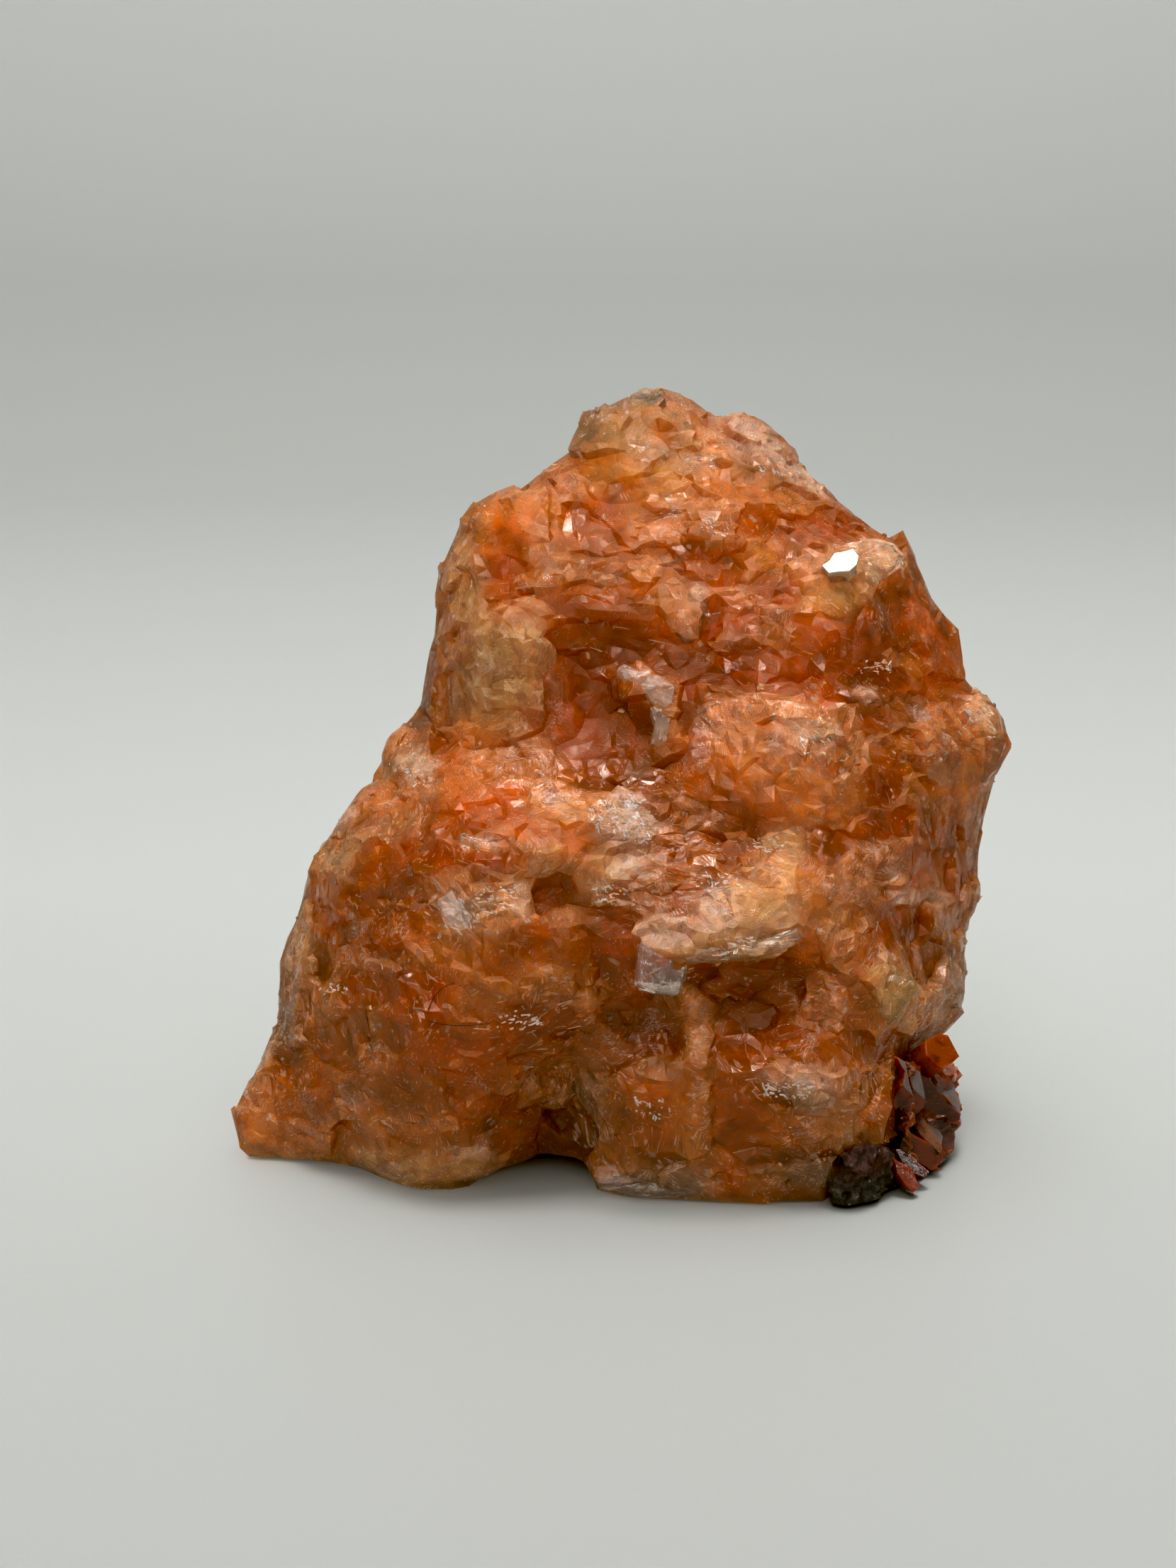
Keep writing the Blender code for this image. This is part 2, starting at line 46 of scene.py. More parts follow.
PITCH = math.radians(14.0)
FOCAL = 3802.449
CENTRE = (829.5, 1106.0)
FORWARD = np.array((0.0, math.cos(PITCH), -math.sin(PITCH)))
UPWARD = np.array((0.0, math.sin(PITCH), math.cos(PITCH)))
UNIT_MM = 1000 * 0.170 / FOCAL  # one drawing unit at the middle of the lump, in mm


def project(points):
    """Drawing place of points in metres, and how far along the view each one is."""
    q = np.atleast_2d(points) - EYE
    far = q @ FORWARD
    return np.stack([CENTRE[0] + FOCAL * q[:, 0] / far, CENTRE[1] - FOCAL * (q @ UPWARD) / far], 1), far


def sight(u, v):
    """Unit direction of the line of sight through a drawing place."""
    d = FORWARD + (u - CENTRE[0]) / FOCAL * np.array((1.0, 0, 0)) + (CENTRE[1] - v) / FOCAL * UPWARD
    return d / np.linalg.norm(d)


# ------------------------------------------------------------------ small maths
def hashed(i, j, k, salt):
    h = (i * 374761393 + j * 668265263 + k * 2147483647 + salt * 1274126177) & 0xFFFFFFFF
    h = ((h ^ (h >> 13)) * 1274126177) & 0xFFFFFFFF
    h = ((h ^ (h >> 16)) * 2246822519) & 0xFFFFFFFF
    return ((h ^ (h >> 15)) & 0xFFFFFF) / float(0xFFFFFF)


def value_noise(p, scale, salt=0):
    """Smooth noise from -1 to 1 at points in mm."""
    q = p / scale
    base = np.floor(q).astype(np.int64)
    f = q - base
    f = f * f * (3 - 2 * f)
    total = np.zeros(len(p))
    for dx in (0, 1):
        for dy in (0, 1):
            for dz in (0, 1):
                w = (
                    np.where(dx, f[:, 0], 1 - f[:, 0])
                    * np.where(dy, f[:, 1], 1 - f[:, 1])
                    * np.where(dz, f[:, 2], 1 - f[:, 2])
                )
                total += w * hashed(base[:, 0] + dx, base[:, 1] + dy, base[:, 2] + dz, salt)
    return total * 2 - 1


def fractal(p, scale, salt=0, octaves=3):
    total, weight, norm = np.zeros(len(p)), 1.0, 0.0
    for o in range(octaves):
        total += weight * value_noise(p, scale / 2**o, salt + o * 17)
        norm += weight
        weight *= 0.5
    return total / norm


def cells(p, size, salt, jitter=0.95):
    """Nearest cell of a jittered grid: its number, its middle and how much nearer it is than the second nearest."""
    q = p / size
    base = np.floor(q).astype(np.int64)
    best = np.full(len(p), 1e9)
    second = np.full(len(p), 1e9)
    middle = np.zeros_like(p)
    ident = np.zeros(len(p), np.int64)
    for dx in (-1, 0, 1):
        for dy in (-1, 0, 1):
            for dz in (-1, 0, 1):
                i, j, k = base[:, 0] + dx, base[:, 1] + dy, base[:, 2] + dz
                spot = np.stack(
                    [
                        i + 0.5 + jitter * (hashed(i, j, k, salt) - 0.5),
                        j + 0.5 + jitter * (hashed(i, j, k, salt + 1) - 0.5),
                        k + 0.5 + jitter * (hashed(i, j, k, salt + 2) - 0.5),
                    ],
                    1,
                )
                d = ((q - spot) ** 2).sum(1)
                nearer = d < best
                second = np.where(nearer, best, np.minimum(second, d))
                best = np.where(nearer, d, best)
                middle[nearer] = spot[nearer]
                code = (i * 73856093) ^ (j * 19349663) ^ (k * 83492791)
                ident[nearer] = code[nearer]
    return ident & 0xFFFFFF, middle * size, (np.sqrt(second) - np.sqrt(best)) * size


def smoothstep(a, b, x):
    t = np.clip((x - a) / (b - a), 0, 1)
    return t * t * (3 - 2 * t)


def unit(v):
    return v / np.maximum(np.linalg.norm(v, axis=-1, keepdims=True), 1e-12)


# ------------------------------------------------------------------ meshes
def arrays_of(mesh):
    mesh.calc_loop_triangles()
    co = np.empty(len(mesh.vertices) * 3, np.float32)
    mesh.vertices.foreach_get("co", co)
    no = np.empty(len(mesh.vertices) * 3, np.float32)
    mesh.vertices.foreach_get("normal", no)
    return co.reshape(-1, 3).astype(float), no.reshape(-1, 3).astype(float)


def edges_of(mesh):
    e = np.empty(len(mesh.edges) * 2, np.int32)
    mesh.edges.foreach_get("vertices", e)
    return e.reshape(-1, 2)


def relax(co, edges, rounds, share=0.5, keep=None):
    a, b = edges[:, 0], edges[:, 1]
    count = np.bincount(edges.ravel(), minlength=len(co))[:, None]
    for _ in range(rounds):
        total = np.zeros_like(co)
        for k in range(3):
            total[:, k] = np.bincount(a, co[b, k], len(co)) + np.bincount(b, co[a, k], len(co))
        moved = co + share * (total / np.maximum(count, 1) - co)
        co = moved if keep is None else np.where(keep[:, None], co, moved)
    return co


def spread(values, edges, rounds):
    """Averages values over neighbours."""
    out = values.astype(float).copy()
    a, b = edges[:, 0], edges[:, 1]
    count = np.bincount(edges.ravel(), minlength=len(out)) + 1
    for _ in range(rounds):
        if out.ndim == 1:
            out = (out + np.bincount(a, out[b], len(out)) + np.bincount(b, out[a], len(out))) / count
        else:
            new = out.copy()
            for k in range(out.shape[1]):
                new[:, k] = (out[:, k] + np.bincount(a, out[b, k], len(out)) + np.bincount(b, out[a, k], len(out))) / count
            out = new
    return out


def voxel_copy(node, size):
    """One closed even mesh over a node's solid."""
    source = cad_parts[node]
    thing = bpy.data.objects.new("work", source.data.copy())
    bpy.context.scene.collection.objects.link(thing)
    remesh = thing.modifiers.new("even", "REMESH")
    remesh.mode = "VOXEL"
    remesh.voxel_size = size
    remesh.adaptivity = 0.0
    graph = bpy.context.evaluated_depsgraph_get()
    mesh = bpy.data.meshes.new_from_object(thing.evaluated_get(graph), depsgraph=graph)
    bpy.data.objects.remove(thing, do_unlink=True)
    mesh.materials.clear()
    return mesh


def add_piece(name, mesh, material, replaces=(), smooth_angle=None):
    thing = bpy.data.objects.new(name, mesh)
    bpy.context.scene.collection.objects.link(thing)
    mesh.materials.clear()
    mesh.materials.append(material)
    if smooth_angle is not None:
        mesh.shade_smooth()
        mesh.set_sharp_from_angle(angle=math.radians(smooth_angle))
    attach(thing, "root")
    if replaces:
        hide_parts(*replaces)
    return thing


# ------------------------------------------------------------------ kinds of grain
# tint is the colour of the grain's body. Then how frosted its broken face is, its roughness, how strongly it is
# streaked along its fibres, how many painted glints (bright specks) it has, and how clear it is.
KINDS = {
    "crest": ((0.62, 0.36, 0.13), 0.15, 0.26, 0.2, 0.3, 0.60),
    "yellow": ((0.88, 0.42, 0.09), 0.10, 0.24, 0.3, 0.2, 0.60),
    "peach": ((0.88, 0.36, 0.11), 0.16, 0.28, 0.4, 0.3, 0.50),
    "pink": ((0.84, 0.36, 0.17), 0.40, 0.32, 0.5, 0.6, 0.30),
    "lilac": ((0.66, 0.24, 0.13), 0.50, 0.32, 0.6, 0.6, 0.25),
    "milk": ((0.95, 0.60, 0.32), 0.22, 0.22, 0.5, 0.3, 0.50),
    "white": ((0.80, 0.63, 0.54), 0.80, 0.40, 0.6, 0.9, 0.05),
    "sugar": ((0.78, 0.50, 0.38), 0.60, 0.30, 0.3, 1.0, 0.15),
    "amber": ((0.86, 0.24, 0.014), 0.05, 0.24, 0.4, 0.2, 0.60),
    "orange": ((0.80, 0.18, 0.010), 0.05, 0.24, 0.4, 0.2, 0.60),
    "deep": ((0.68, 0.105, 0.006), 0.05, 0.22, 0.4, 0.3, 0.60),
    "red": ((0.52, 0.052, 0.005), 0.08, 0.24, 0.3, 0.4, 0.55),
    "dark": ((0.26, 0.022, 0.003), 0.05, 0.28, 0.3, 0.4, 0.40),
    "brown": ((0.62, 0.155, 0.018), 0.10, 0.30, 0.7, 0.4, 0.50),
    "fibre": ((0.86, 0.42, 0.17), 0.40, 0.32, 1.0, 0.7, 0.25),
    "pale": ((0.92, 0.60, 0.30), 0.32, 0.28, 0.4, 0.4, 0.45),
    "grey": ((0.42, 0.27, 0.17), 0.40, 0.32, 0.4, 0.5, 0.30),
    "speck": ((0.62, 0.19, 0.05), 0.30, 0.34, 0.3, 1.0, 0.30),
}

# ------------------------------------------------------------------ grains placed one by one
# centre, half width, half height, turn in degrees (clockwise), kind, mm proud, face turned to the right, face turned up (degrees), direction of the fibres (degrees)
GRAINS = [
    # crest
    (850, 612, 42, 38, 0, "crest", 0.5, -14, 18, 70), (905, 575, 34, 22, -8, "crest", 0.5, -4, 30, 20),
    (958, 585, 32, 30, 10, "crest", 0.5, 12, 26, 60), (915, 625, 60, 24, 0, "crest", 0.2, 0, 14, 0),
    (860, 660, 50, 22, 0, "yellow", 0.1, -4, 12, 0), (900, 685, 60, 18, 0, "yellow", 0.1, 0, 10, 0),
    (960, 655, 34, 18, 0, "crest", 0.3, 4, 22, 0), (1010, 625, 28, 34, 0, "pink", 0.4, 4, 18, 80),
    (1060, 605, 40, 24, 8, "sugar", 0.4, 14, 34, 20), (1045, 640, 30, 20, 30, "sugar", 0.2, 10, 22, 40),
    (1090, 640, 30, 30, 40, "sugar", 0.4, 24, 26, 50), (1120, 675, 34, 20, 44, "sugar", 0.4, 26, 26, 50),
    (1170, 694, 26, 16, 40, "white", 0.3, 24, 24, 40), (1035, 675, 60, 20, 10, "peach", 0.2, 6, 18, 10),
    (790, 655, 26, 18, -30, "pink", 0.3, -16, 26, 0), (755, 680, 28, 14, -10, "pink", 0.3, -14, 28, 0),
    (715, 690, 20, 12, 0, "pink", 0.3, -20, 28, 0), (810, 690, 26, 22, 0, "pink", 0.1, -8, 18, 0),
    # upper left
    (680, 725, 26, 28, -20, "peach", 0.2, -24, 18, 70), (650, 765, 16, 46, -18, "milk", 0.3, -36, 8, 72),
    (632, 812, 16, 30, -6, "milk", 0.3, -36, 8, 80), (628, 862, 18, 36, 0, "peach", 0.2, -36, 4, 84),
    (712, 765, 34, 30, 0, "amber", -0.1, -14, 10, 60), (705, 800, 26, 22, 0, "deep", -0.2, -10, 6, 60),
    (765, 735, 26, 44, 0, "peach", 0.2, -10, 16, 80), (770, 780, 26, 24, 0, "peach", 0.3, -8, 14, 10),
    (815, 745, 26, 40, 0, "orange", 0.0, -4, 14, 80), (855, 745, 34, 40, 0, "orange", 0.0, 0, 12, 40),
    (845, 800, 44, 20, -4, "lilac", 0.4, 0, 26, 0), (788, 812, 30, 16, -20, "pink", 0.4, -6, 26, -20),
    (660, 835, 24, 26, 0, "pale", 0.1, -24, 8, 60), (706, 838, 30, 20, 0, "orange", 0.0, -12, 8, 20),
    (745, 856, 36, 14, 4, "pink", 0.3, -8, 22, 0), (790, 850, 26, 18, 10, "orange", 0.1, -4, 16, 0),
    (850, 850, 60, 30, 0, "orange", 0.0, 0, 12, 5), (830, 895, 60, 24, 0, "amber", 0.0, 0, 12, 0),
    (655, 925, 40, 30, -10, "pink", 0.5, -24, 8, -14), (645, 985, 34, 50, 0, "peach", 0.4, -22, 0, 80),
    (715, 950, 50, 76, 4, "milk", 0.8, -10, 0, 84), (735, 890, 34, 22, 0, "milk", 0.6, -8, 16, 80),
    (612, 960, 18, 56, 0, "brown", 0.1, -36, 2, 86), (700, 1025, 66, 26, -16, "peach", 0.5, -8, -10, -14),
    (592, 1022, 16, 20, 0, "dark", -0.3, -20, 10, 40), (560, 1055, 22, 32, 10, "peach", 0.4, -26, 10, 60),
    (548, 1090, 14, 12, 0, "pale", 0.3, -26, 20, 0), (590, 1078, 28, 18, 0, "white", 0.4, -10, 26, 10),
    (640, 1065, 26, 22, 0, "orange", 0.0, -10, 14, 0), (740, 1075, 36, 30, -20, "lilac", -0.2, -4, 32, 60),
    (690, 1085, 26, 24, 0, "pink", -0.2, -8, 30, 60), (815, 990, 46, 70, 0, "deep", -0.5, 4, 6, 80),
    (850, 930, 50, 26, 0, "deep", -0.3, 2, 10, 0), (865, 1050, 36, 46, 0, "red", -0.5, 4, 10, 60),
    (800, 1085, 26, 22, 0, "brown", -0.3, 0, 22, 30),
    # upper middle
    (945, 712, 30, 12, -6, "pink", 0.5, 2, 32, 0), (930, 745, 44, 18, 6, "pink", 0.3, 0, 24, 0),
    (1012, 735, 34, 26, -10, "pink", 0.5, 6, 26, 0), (1020, 768, 30, 14, -10, "yellow", 0.4, 6, -6, 0),
    (975, 775, 30, 20, 0, "deep", -0.1, 4, 10, 0), (1065, 740, 30, 24, 0, "orange", 0.0, 6, 14, 10),
    (925, 805, 40, 20, 0, "pink", 0.3, 2, 22, 5), (900, 850, 46, 24, -6, "peach", 0.1, 0, 16, 0),
    # The small white grain at 985,838 is a painted glint.
    (945, 840, 34, 30, 0, "peach", 0.2, 4, 14, 5), (985, 838, 16, 12, 0, "white", 0.6, 4, 30, 0),
    (970, 875, 22, 32, 14, "pink", 0.9, 8, 12, 70), (1012, 805, 34, 22, 0, "deep", -0.2, 4, 12, 0),
    (1040, 840, 30, 16, 0, "pink", 0.3, 4, 22, 0), (1080, 788, 28, 26, 0, "yellow", 0.1, 6, 14, 40),
    (1090, 835, 34, 22, 0, "deep", -0.3, 6, 8, 0), (1140, 790, 26, 22, 10, "pink", 0.4, 6, 26, 40),
    (1190, 795, 32, 22, 6, "milk", 0.8, 2, 28, 0), (1240, 790, 40, 28, 6, "pale", 0.5, 16, 26, 20),
    (1178, 850, 46, 28, 0, "yellow", 0.2, 6, 14, 40), (1220, 830, 30, 20, 0, "pale", 0.3, 10, 16, 0),
    (1165, 745, 56, 24, 12, "red", 0.0, 12, 24, 20), (1230, 752, 40, 16, 20, "deep", 0.2, 16, 28, 20),
    (1120, 765, 18, 24, 0, "red", -0.3, 8, 14, 60), (1120, 715, 40, 16, 20, "peach", 0.2, 12, 28, 20),
    (1190, 720, 40, 14, 34, "red", 0.3, 24, 30, 34), (1290, 800, 20, 40, 14, "orange", 0.2, 34, 14, 70),
    (1255, 865, 34, 44, -10, "red", -0.3, 16, 6, 70), (1305, 860, 26, 44, 24, "orange", 0.2, 36, 10, 64),
    (1330, 915, 28, 46, 10, "orange", 0.2, 36, 6, 70), (1210, 895, 26, 36, 0, "deep", -0.1, 14, 6, 70),
    (1092, 885, 26, 30, 0, "lilac", 0.3, 6, 14, 60), (1045, 880, 34, 30, 0, "deep", -0.1, 4, 12, 0),
    (1040, 912, 34, 12, -4, "pink", 0.3, 4, 20, 0), (1005, 870, 18, 30, 0, "deep", -0.3, 4, 8, 70),
    (960, 925, 50, 26, 0, "deep", -0.2, 0, 10, 0), (1050, 945, 60, 24, 0, "deep", -0.2, 2, 10, 0),
    (1150, 915, 44, 44, 0, "orange", 0.1, 8, 10, 30), (1190, 960, 30, 24, 0, "deep", -0.1, 10, 10, 20),
    (900, 900, 40, 24, 0, "orange", -0.1, 0, 10, 0), (1115, 965, 40, 14, 0, "deep", 0.0, 4, 14, 0),
    (1285, 940, 30, 20, 10, "peach", 0.2, 22, 14, 20), (1245, 965, 36, 20, 6, "red", -0.5, 12, 22, 10),
    (1218, 975, 22, 10, 8, "white", 0.1, 8, 26, 10), (1325, 975, 34, 20, 20, "orange", 0.1, 26, 16, 40),
    # hooks and shards
    (897, 962, 34, 20, -6, "lilac", 0.9, -4, 12, 70), (940, 985, 14, 30, 0, "pink", 0.8, 6, 8, 86),
    (945, 1040, 20, 34, 0, "pink", 0.7, 4, 4, 86), (915, 1015, 22, 26, 0, "red", -0.4, 0, 6, 60),
    (975, 1010, 18, 28, 0, "orange", 0.1, 0, 14, 80),
    # blocky grain, centre right
    (1040, 1005, 44, 22, 0, "pink", 0.8, -4, 24, 30), (1030, 1055, 44, 34, 0, "peach", 0.9, -8, 6, 60),
    (1000, 1100, 40, 26, -8, "amber", 0.7, -10, -4, 30), (1100, 1060, 44, 34, 0, "pink", 1.0, 0, 6, 30),
    (1135, 1008, 50, 18, 10, "peach", 0.9, 4, 28, 20), (1140, 1036, 36, 10, 10, "white", 1.0, 4, 20, 12),
    (1075, 1110, 46, 30, 6, "peach", 0.8, -2, -4, 20), (1135, 1115, 44, 30, 0, "peach", 0.8, 4, -2, 30),
    (1160, 1075, 30, 30, 0, "lilac", 0.9, 8, 4, 60), (1205, 1050, 24, 44, 6, "pink", 0.5, 24, 4, 80),
    (1195, 1120, 30, 34, 0, "peach", 0.5, 16, -2, 60), (1060, 1140, 60, 14, 6, "orange", 0.4, 0, -20, 10),
    # right edge
    (1240, 1020, 30, 24, 0, "red", -0.3, 12, 14, 20), (1290, 1005, 40, 24, 6, "lilac", 0.0, 18, 20, 24),
    (1262, 1065, 44, 34, 0, "speck", -0.2, 18, 10, 30), (1330, 1030, 44, 34, 28, "pink", 0.5, 26, 12, 28),
    (1395, 1015, 34, 34, 30, "pale", 0.5, 34, 12, 28), (1400, 1070, 30, 44, 10, "peach", 0.4, 38, 2, 60),
    (1340, 1085, 40, 34, 20, "peach", 0.3, 28, 4, 28), (1250, 1110, 30, 30, 0, "red", -0.2, 16, 4, 60),
    (1310, 1125, 44, 26, 0, "peach", 0.3, 24, 14, 10), (1320, 1170, 50, 30, 0, "orange", 0.2, 26, 6, 20),
    (1375, 1150, 24, 44, 0, "peach", 0.2, 40, 4, 80), (1255, 1165, 40, 24, 0, "red", -0.1, 16, 12, 10),
    (1300, 1225, 46, 34, 0, "orange", 0.2, 26, 2, 60), (1358, 1225, 24, 44, 0, "orange", 0.2, 38, 2, 80),
    (1372, 1265, 18, 30, 0, "pink", 0.3, 40, 4, 80), (1290, 1268, 44, 12, 0, "white", 0.2, 20, 28, 0),
    (1262, 1232, 26, 20, 0, "lilac", 0.2, 14, 20, 0), (1240, 1265, 24, 20, 0, "lilac", 0.1, 12, 20, 60),
    (1270, 1310, 44, 30, 0, "deep", -0.1, 18, 2, 20), (1340, 1300, 34, 30, 0, "peach", 0.2, 32, 6, 40),
    (1345, 1380, 24, 50, 30, "grey", 0.5, 36, 10, 60), (1300, 1360, 34, 36, 0, "brown", 0.1, 24, 2, 40),
    (1312, 1440, 34, 34, 0, "fibre", 0.1, 28, 0, -55), (1365, 1330, 18, 30, 0, "peach", 0.2, 42, 4, 70),
    # ledge row
    (540, 1125, 44, 20, -10, "peach", 0.2, -22, 26, 30), (590, 1110, 40, 18, 0, "pink", 0.1, -14, 32, 20),
    (660, 1120, 40, 20, 10, "amber", 0.0, -8, 30, 20), (715, 1115, 30, 22, 10, "orange", -0.2, -4, 26, 20),
    (770, 1120, 44, 20, 6, "fibre", 0.2, -2, 30, 40), (818, 1150, 44, 26, 10, "fibre", 0.3, 0, 26, 50),
    # The dark and red grains at 845,1105 and 895,1100 paint the shadow under the overhanging upper block.
    (845, 1105, 44, 12, 4, "dark", -0.5, 2, 20, 10), (895, 1100, 40, 14, 0, "red", -0.6, 0, 22, 10),
    (895, 1150, 34, 28, 30, "white", 0.5, 0, 24, 60), (870, 1175, 30, 20, 0, "white", 0.4, 0, 20, -30),
    (930, 1133, 26, 22, 0, "red", 0.5, -2, 14, 60), (965, 1085, 30, 20, 0, "lilac", -0.2, 0, 24, 10),
    (970, 1145, 40, 20, 4, "lilac", 0.2, 0, 30, 10), (1030, 1155, 40, 22, 6, "pink", 0.1, 0, 30, 20),
    (1080, 1165, 30, 20, 0, "red", -0.1, 0, 22, 20),
    # lower block, left
    (520, 1165, 44, 26, -30, "brown", 0.2, -24, 18, 40), (485, 1160, 16, 18, 0, "white", 0.4, -30, 20, 0),
    (585, 1160, 44, 34, 0, "brown", 0.2, -14, 12, 60), (490, 1205, 50, 22, -24, "pale", 0.5, -26, 14, -20),
    (463, 1258, 30, 26, -30, "amber", 0.5, -30, 6, 60), (462, 1290, 30, 16, 0, "orange", 0.3, -30, -6, 0),
    (426, 1290, 14, 24, 0, "pale", 0.3, -38, 6, 80), (540, 1215, 30, 26, 0, "orange", 0.1, -18, 12, 40),
    (640, 1165, 50, 18, 8, "orange", 0.0, -8, 22, 10), (700, 1150, 40, 20, 6, "orange", -0.1, -4, 22, 10),
    (672, 1185, 34, 8, 12, "white", 0.4, -4, 26, 12), (720, 1168, 22, 12, 0, "pink", 0.3, 0, 26, 10),
    (610, 1205, 50, 24, 0, "deep", 0.0, -10, 14, 10), (685, 1215, 44, 16, 6, "deep", 0.0, -4, 20, 10),
    (570, 1255, 44, 24, 10, "brown", 0.1, -12, 12, 10), (520, 1290, 44, 30, 0, "brown", 0.0, -18, 4, 20),
    (640, 1250, 40, 20, 16, "pink", 0.3, -6, 22, 16), (690, 1240, 44, 12, 10, "lilac", 0.2, -2, 26, 10),
    (650, 1288, 36, 22, 0, "white", 0.5, -6, 20, 30), (700, 1300, 34, 20, 10, "fibre", 0.3, -4, 16, 20),
    (725, 1265, 26, 30, 20, "fibre", 0.4, -2, 10, 70), (590, 1300, 40, 26, 0, "brown", 0.1, -10, 8, 10),
    (760, 1180, 34, 26, 0, "amber", 0.3, -2, 20, 50), (770, 1215, 34, 16, -20, "fibre", 0.3, -2, 20, -30),
    (825, 1195, 34, 30, 0, "amber", 0.3, 0, 20, 60), (840, 1240, 24, 30, 0, "pale", 0.3, 0, 12, 70),
    (775, 1262, 30, 28, 0, "deep", -0.7, 0, -4, 60), (800, 1295, 34, 14, 0, "fibre", 0.2, 0, 14, 40),
    (870, 1225, 40, 16, -6, "white", 0.4, 0, 34, -8), (880, 1262, 50, 24, 12, "lilac", 0.1, 0, 30, 16),
    (860, 1300, 40, 22, 0, "red", -0.1, 0, 12, 20),
    # lower block, left side
    (425, 1345, 22, 40, 0, "milk", 0.3, -36, 2, 84), (415, 1420, 22, 50, 4, "grey", 0.2, -36, 0, 86),
    (455, 1350, 16, 44, 0, "brown", -0.3, -20, 0, 84), (455, 1420, 26, 44, 0, "pink", 0.1, -26, 0, 80),
    (500, 1345, 36, 20, 0, "lilac", 0.1, -18, 8, 30), (548, 1345, 40, 16, 0, "red", 0.0, -12, 10, 0),
    (545, 1365, 26, 12, 0, "lilac", 0.3, -12, 12, 0), (525, 1400, 40, 26, 0, "orange", 0.0, -14, 4, 60),
    (600, 1350, 34, 26, 0, "peach", 0.1, -8, 6, 20), (650, 1340, 40, 22, 0, "peach", 0.1, -6, 8, 10),
    (700, 1350, 30, 30, 0, "amber", 0.1, -2, 6, 70), (745, 1330, 26, 26, 0, "orange", 0.0, 0, 4, 60),
    (620, 1395, 50, 30, 0, "orange", 0.1, -8, 4, 40), (680, 1405, 40, 34, 0, "peach", 0.1, -4, 2, 60),
    (480, 1465, 40, 34, 0, "brown", 0.0, -18, 0, 70), (545, 1450, 44, 40, 0, "brown", 0.1, -12, 2, 60),
    (610, 1470, 50, 44, 0, "orange", 0.0, -6, 0, 40), (680, 1465, 40, 30, 0, "orange", 0.0, -4, 0, 0),
    (525, 1490, 30, 14, 20, "pink", 0.2, -12, 8, 20), (590, 1530, 60, 34, 0, "brown", 0.0, -8, 0, 40),
    (660, 1520, 50, 34, 0, "orange", -0.1, -2, 0, 30), (372, 1485, 14, 24, 0, "pale", 0.4, -36, 8, 80),
    (405, 1485, 30, 14, 4, "dark", -0.2, -26, 8, 10), (420, 1515, 44, 16, 10, "brown", 0.1, -24, 16, 20),
    (375, 1545, 30, 30, -20, "pink", 0.3, -30, 14, 60), (365, 1600, 34, 34, 0, "peach", 0.2, -32, 2, 70),
    (430, 1560, 40, 30, 0, "brown", 0.1, -20, 6, 50), (500, 1555, 36, 22, 14, "lilac", 0.2, -14, 14, 24),
    (440, 1605, 44, 24, 0, "pink", 0.1, -20, -4, 20), (510, 1610, 40, 26, 0, "peach", 0.1, -12, -4, 40),
    (575, 1585, 50, 16, 6, "pink", 0.2, -8, 8, 10), (600, 1615, 60, 20, 0, "amber", 0.1, -4, -8, 0),
    (560, 1645, 50, 20, 8, "pale", 0.3, -4, -20, 10), (640, 1650, 60, 18, -6, "yellow", 0.3, 0, -24, 0),
    (660, 1628, 30, 12, 0, "white", 0.4, 0, -4, 0), (715, 1600, 50, 30, 0, "orange", 0.0, 4, -6, 0),
    (700, 1555, 44, 24, 0, "orange", 0.0, 2, 0, 20), (735, 1635, 30, 14, -10, "orange", 0.1, 4, -24, -10),
    # lower block, middle
    (770, 1370, 36, 26, 0, "peach", 0.1, 0, 2, 20), (775, 1400, 40, 16, 10, "lilac", 0.2, 0, 12, 10),
    (740, 1440, 34, 34, 0, "red", 0.0, 0, 2, -20), (785, 1440, 36, 34, 0, "red", 0.0, 2, 0, -20),
    (760, 1485, 40, 26, 0, "orange", 0.0, 2, 0, -20), (745, 1525, 24, 26, 0, "lilac", 0.3, 0, 0, 60),
    (795, 1510, 34, 24, 0, "lilac", 0.1, 4, -6, 10), (770, 1552, 50, 10, -8, "pink", 0.4, 2, -10, -8),
    # The dark grains at 810,1590 and 780,1610 paint the shade in the recess above the arch.
    (810, 1590, 34, 30, 0, "dark", -0.6, 2, -8, 60), (780, 1610, 40, 24, 0, "dark", -0.5, 2, -10, 60),
    (820, 1350, 26, 44, 0, "brown", 0.1, 0, 0, 80), (825, 1420, 26, 40, 0, "pink", 0.2, 0, 0, 80),
    (865, 1360, 34, 44, 0, "deep", -0.4, 2, 2, 70), (880, 1430, 40, 34, 0, "red", -0.5, 2, -2, 60),
    (925, 1450, 36, 40, 0, "red", -0.6, 0, -4, 70), (850, 1490, 44, 34, 30, "brown", 0.0, 2, 2, 40),
    (840, 1545, 24, 50, 0, "grey", 0.3, -10, 0, 84), (878, 1560, 26, 60, 0, "brown", 0.3, 0, 0, 84),
    (925, 1512, 20, 22, 0, "pale", 0.5, 0, 6, 70), (925, 1580, 34, 50, 0, "amber", 0.2, 2, 0, 84),
    (985, 1580, 18, 60, 4, "peach", 0.4, 4, 0, 84), (970, 1505, 34, 26, 0, "peach", 0.2, 4, 2, 20),
    (985, 1440, 22, 60, 4, "fibre", 0.2, 6, 0, 60), (870, 1640, 34, 26, 0, "peach", 0.3, -4, -6, 60),
    (937, 1315, 34, 16, 0, "white", 0.5, -2, 26, 10), (965, 1270, 24, 24, -30, "red", 0.0, 0, 10, -40),
    (1000, 1285, 36, 30, 30, "white", 0.5, 0, 22, 50), (940, 1240, 60, 20, 0, "speck", 0.1, 0, 30, 10),
    (975, 1195, 50, 26, 0, "speck", 0.0, 0, 24, 20), (1040, 1200, 40, 24, 0, "speck", 0.0, 0, 24, 40),
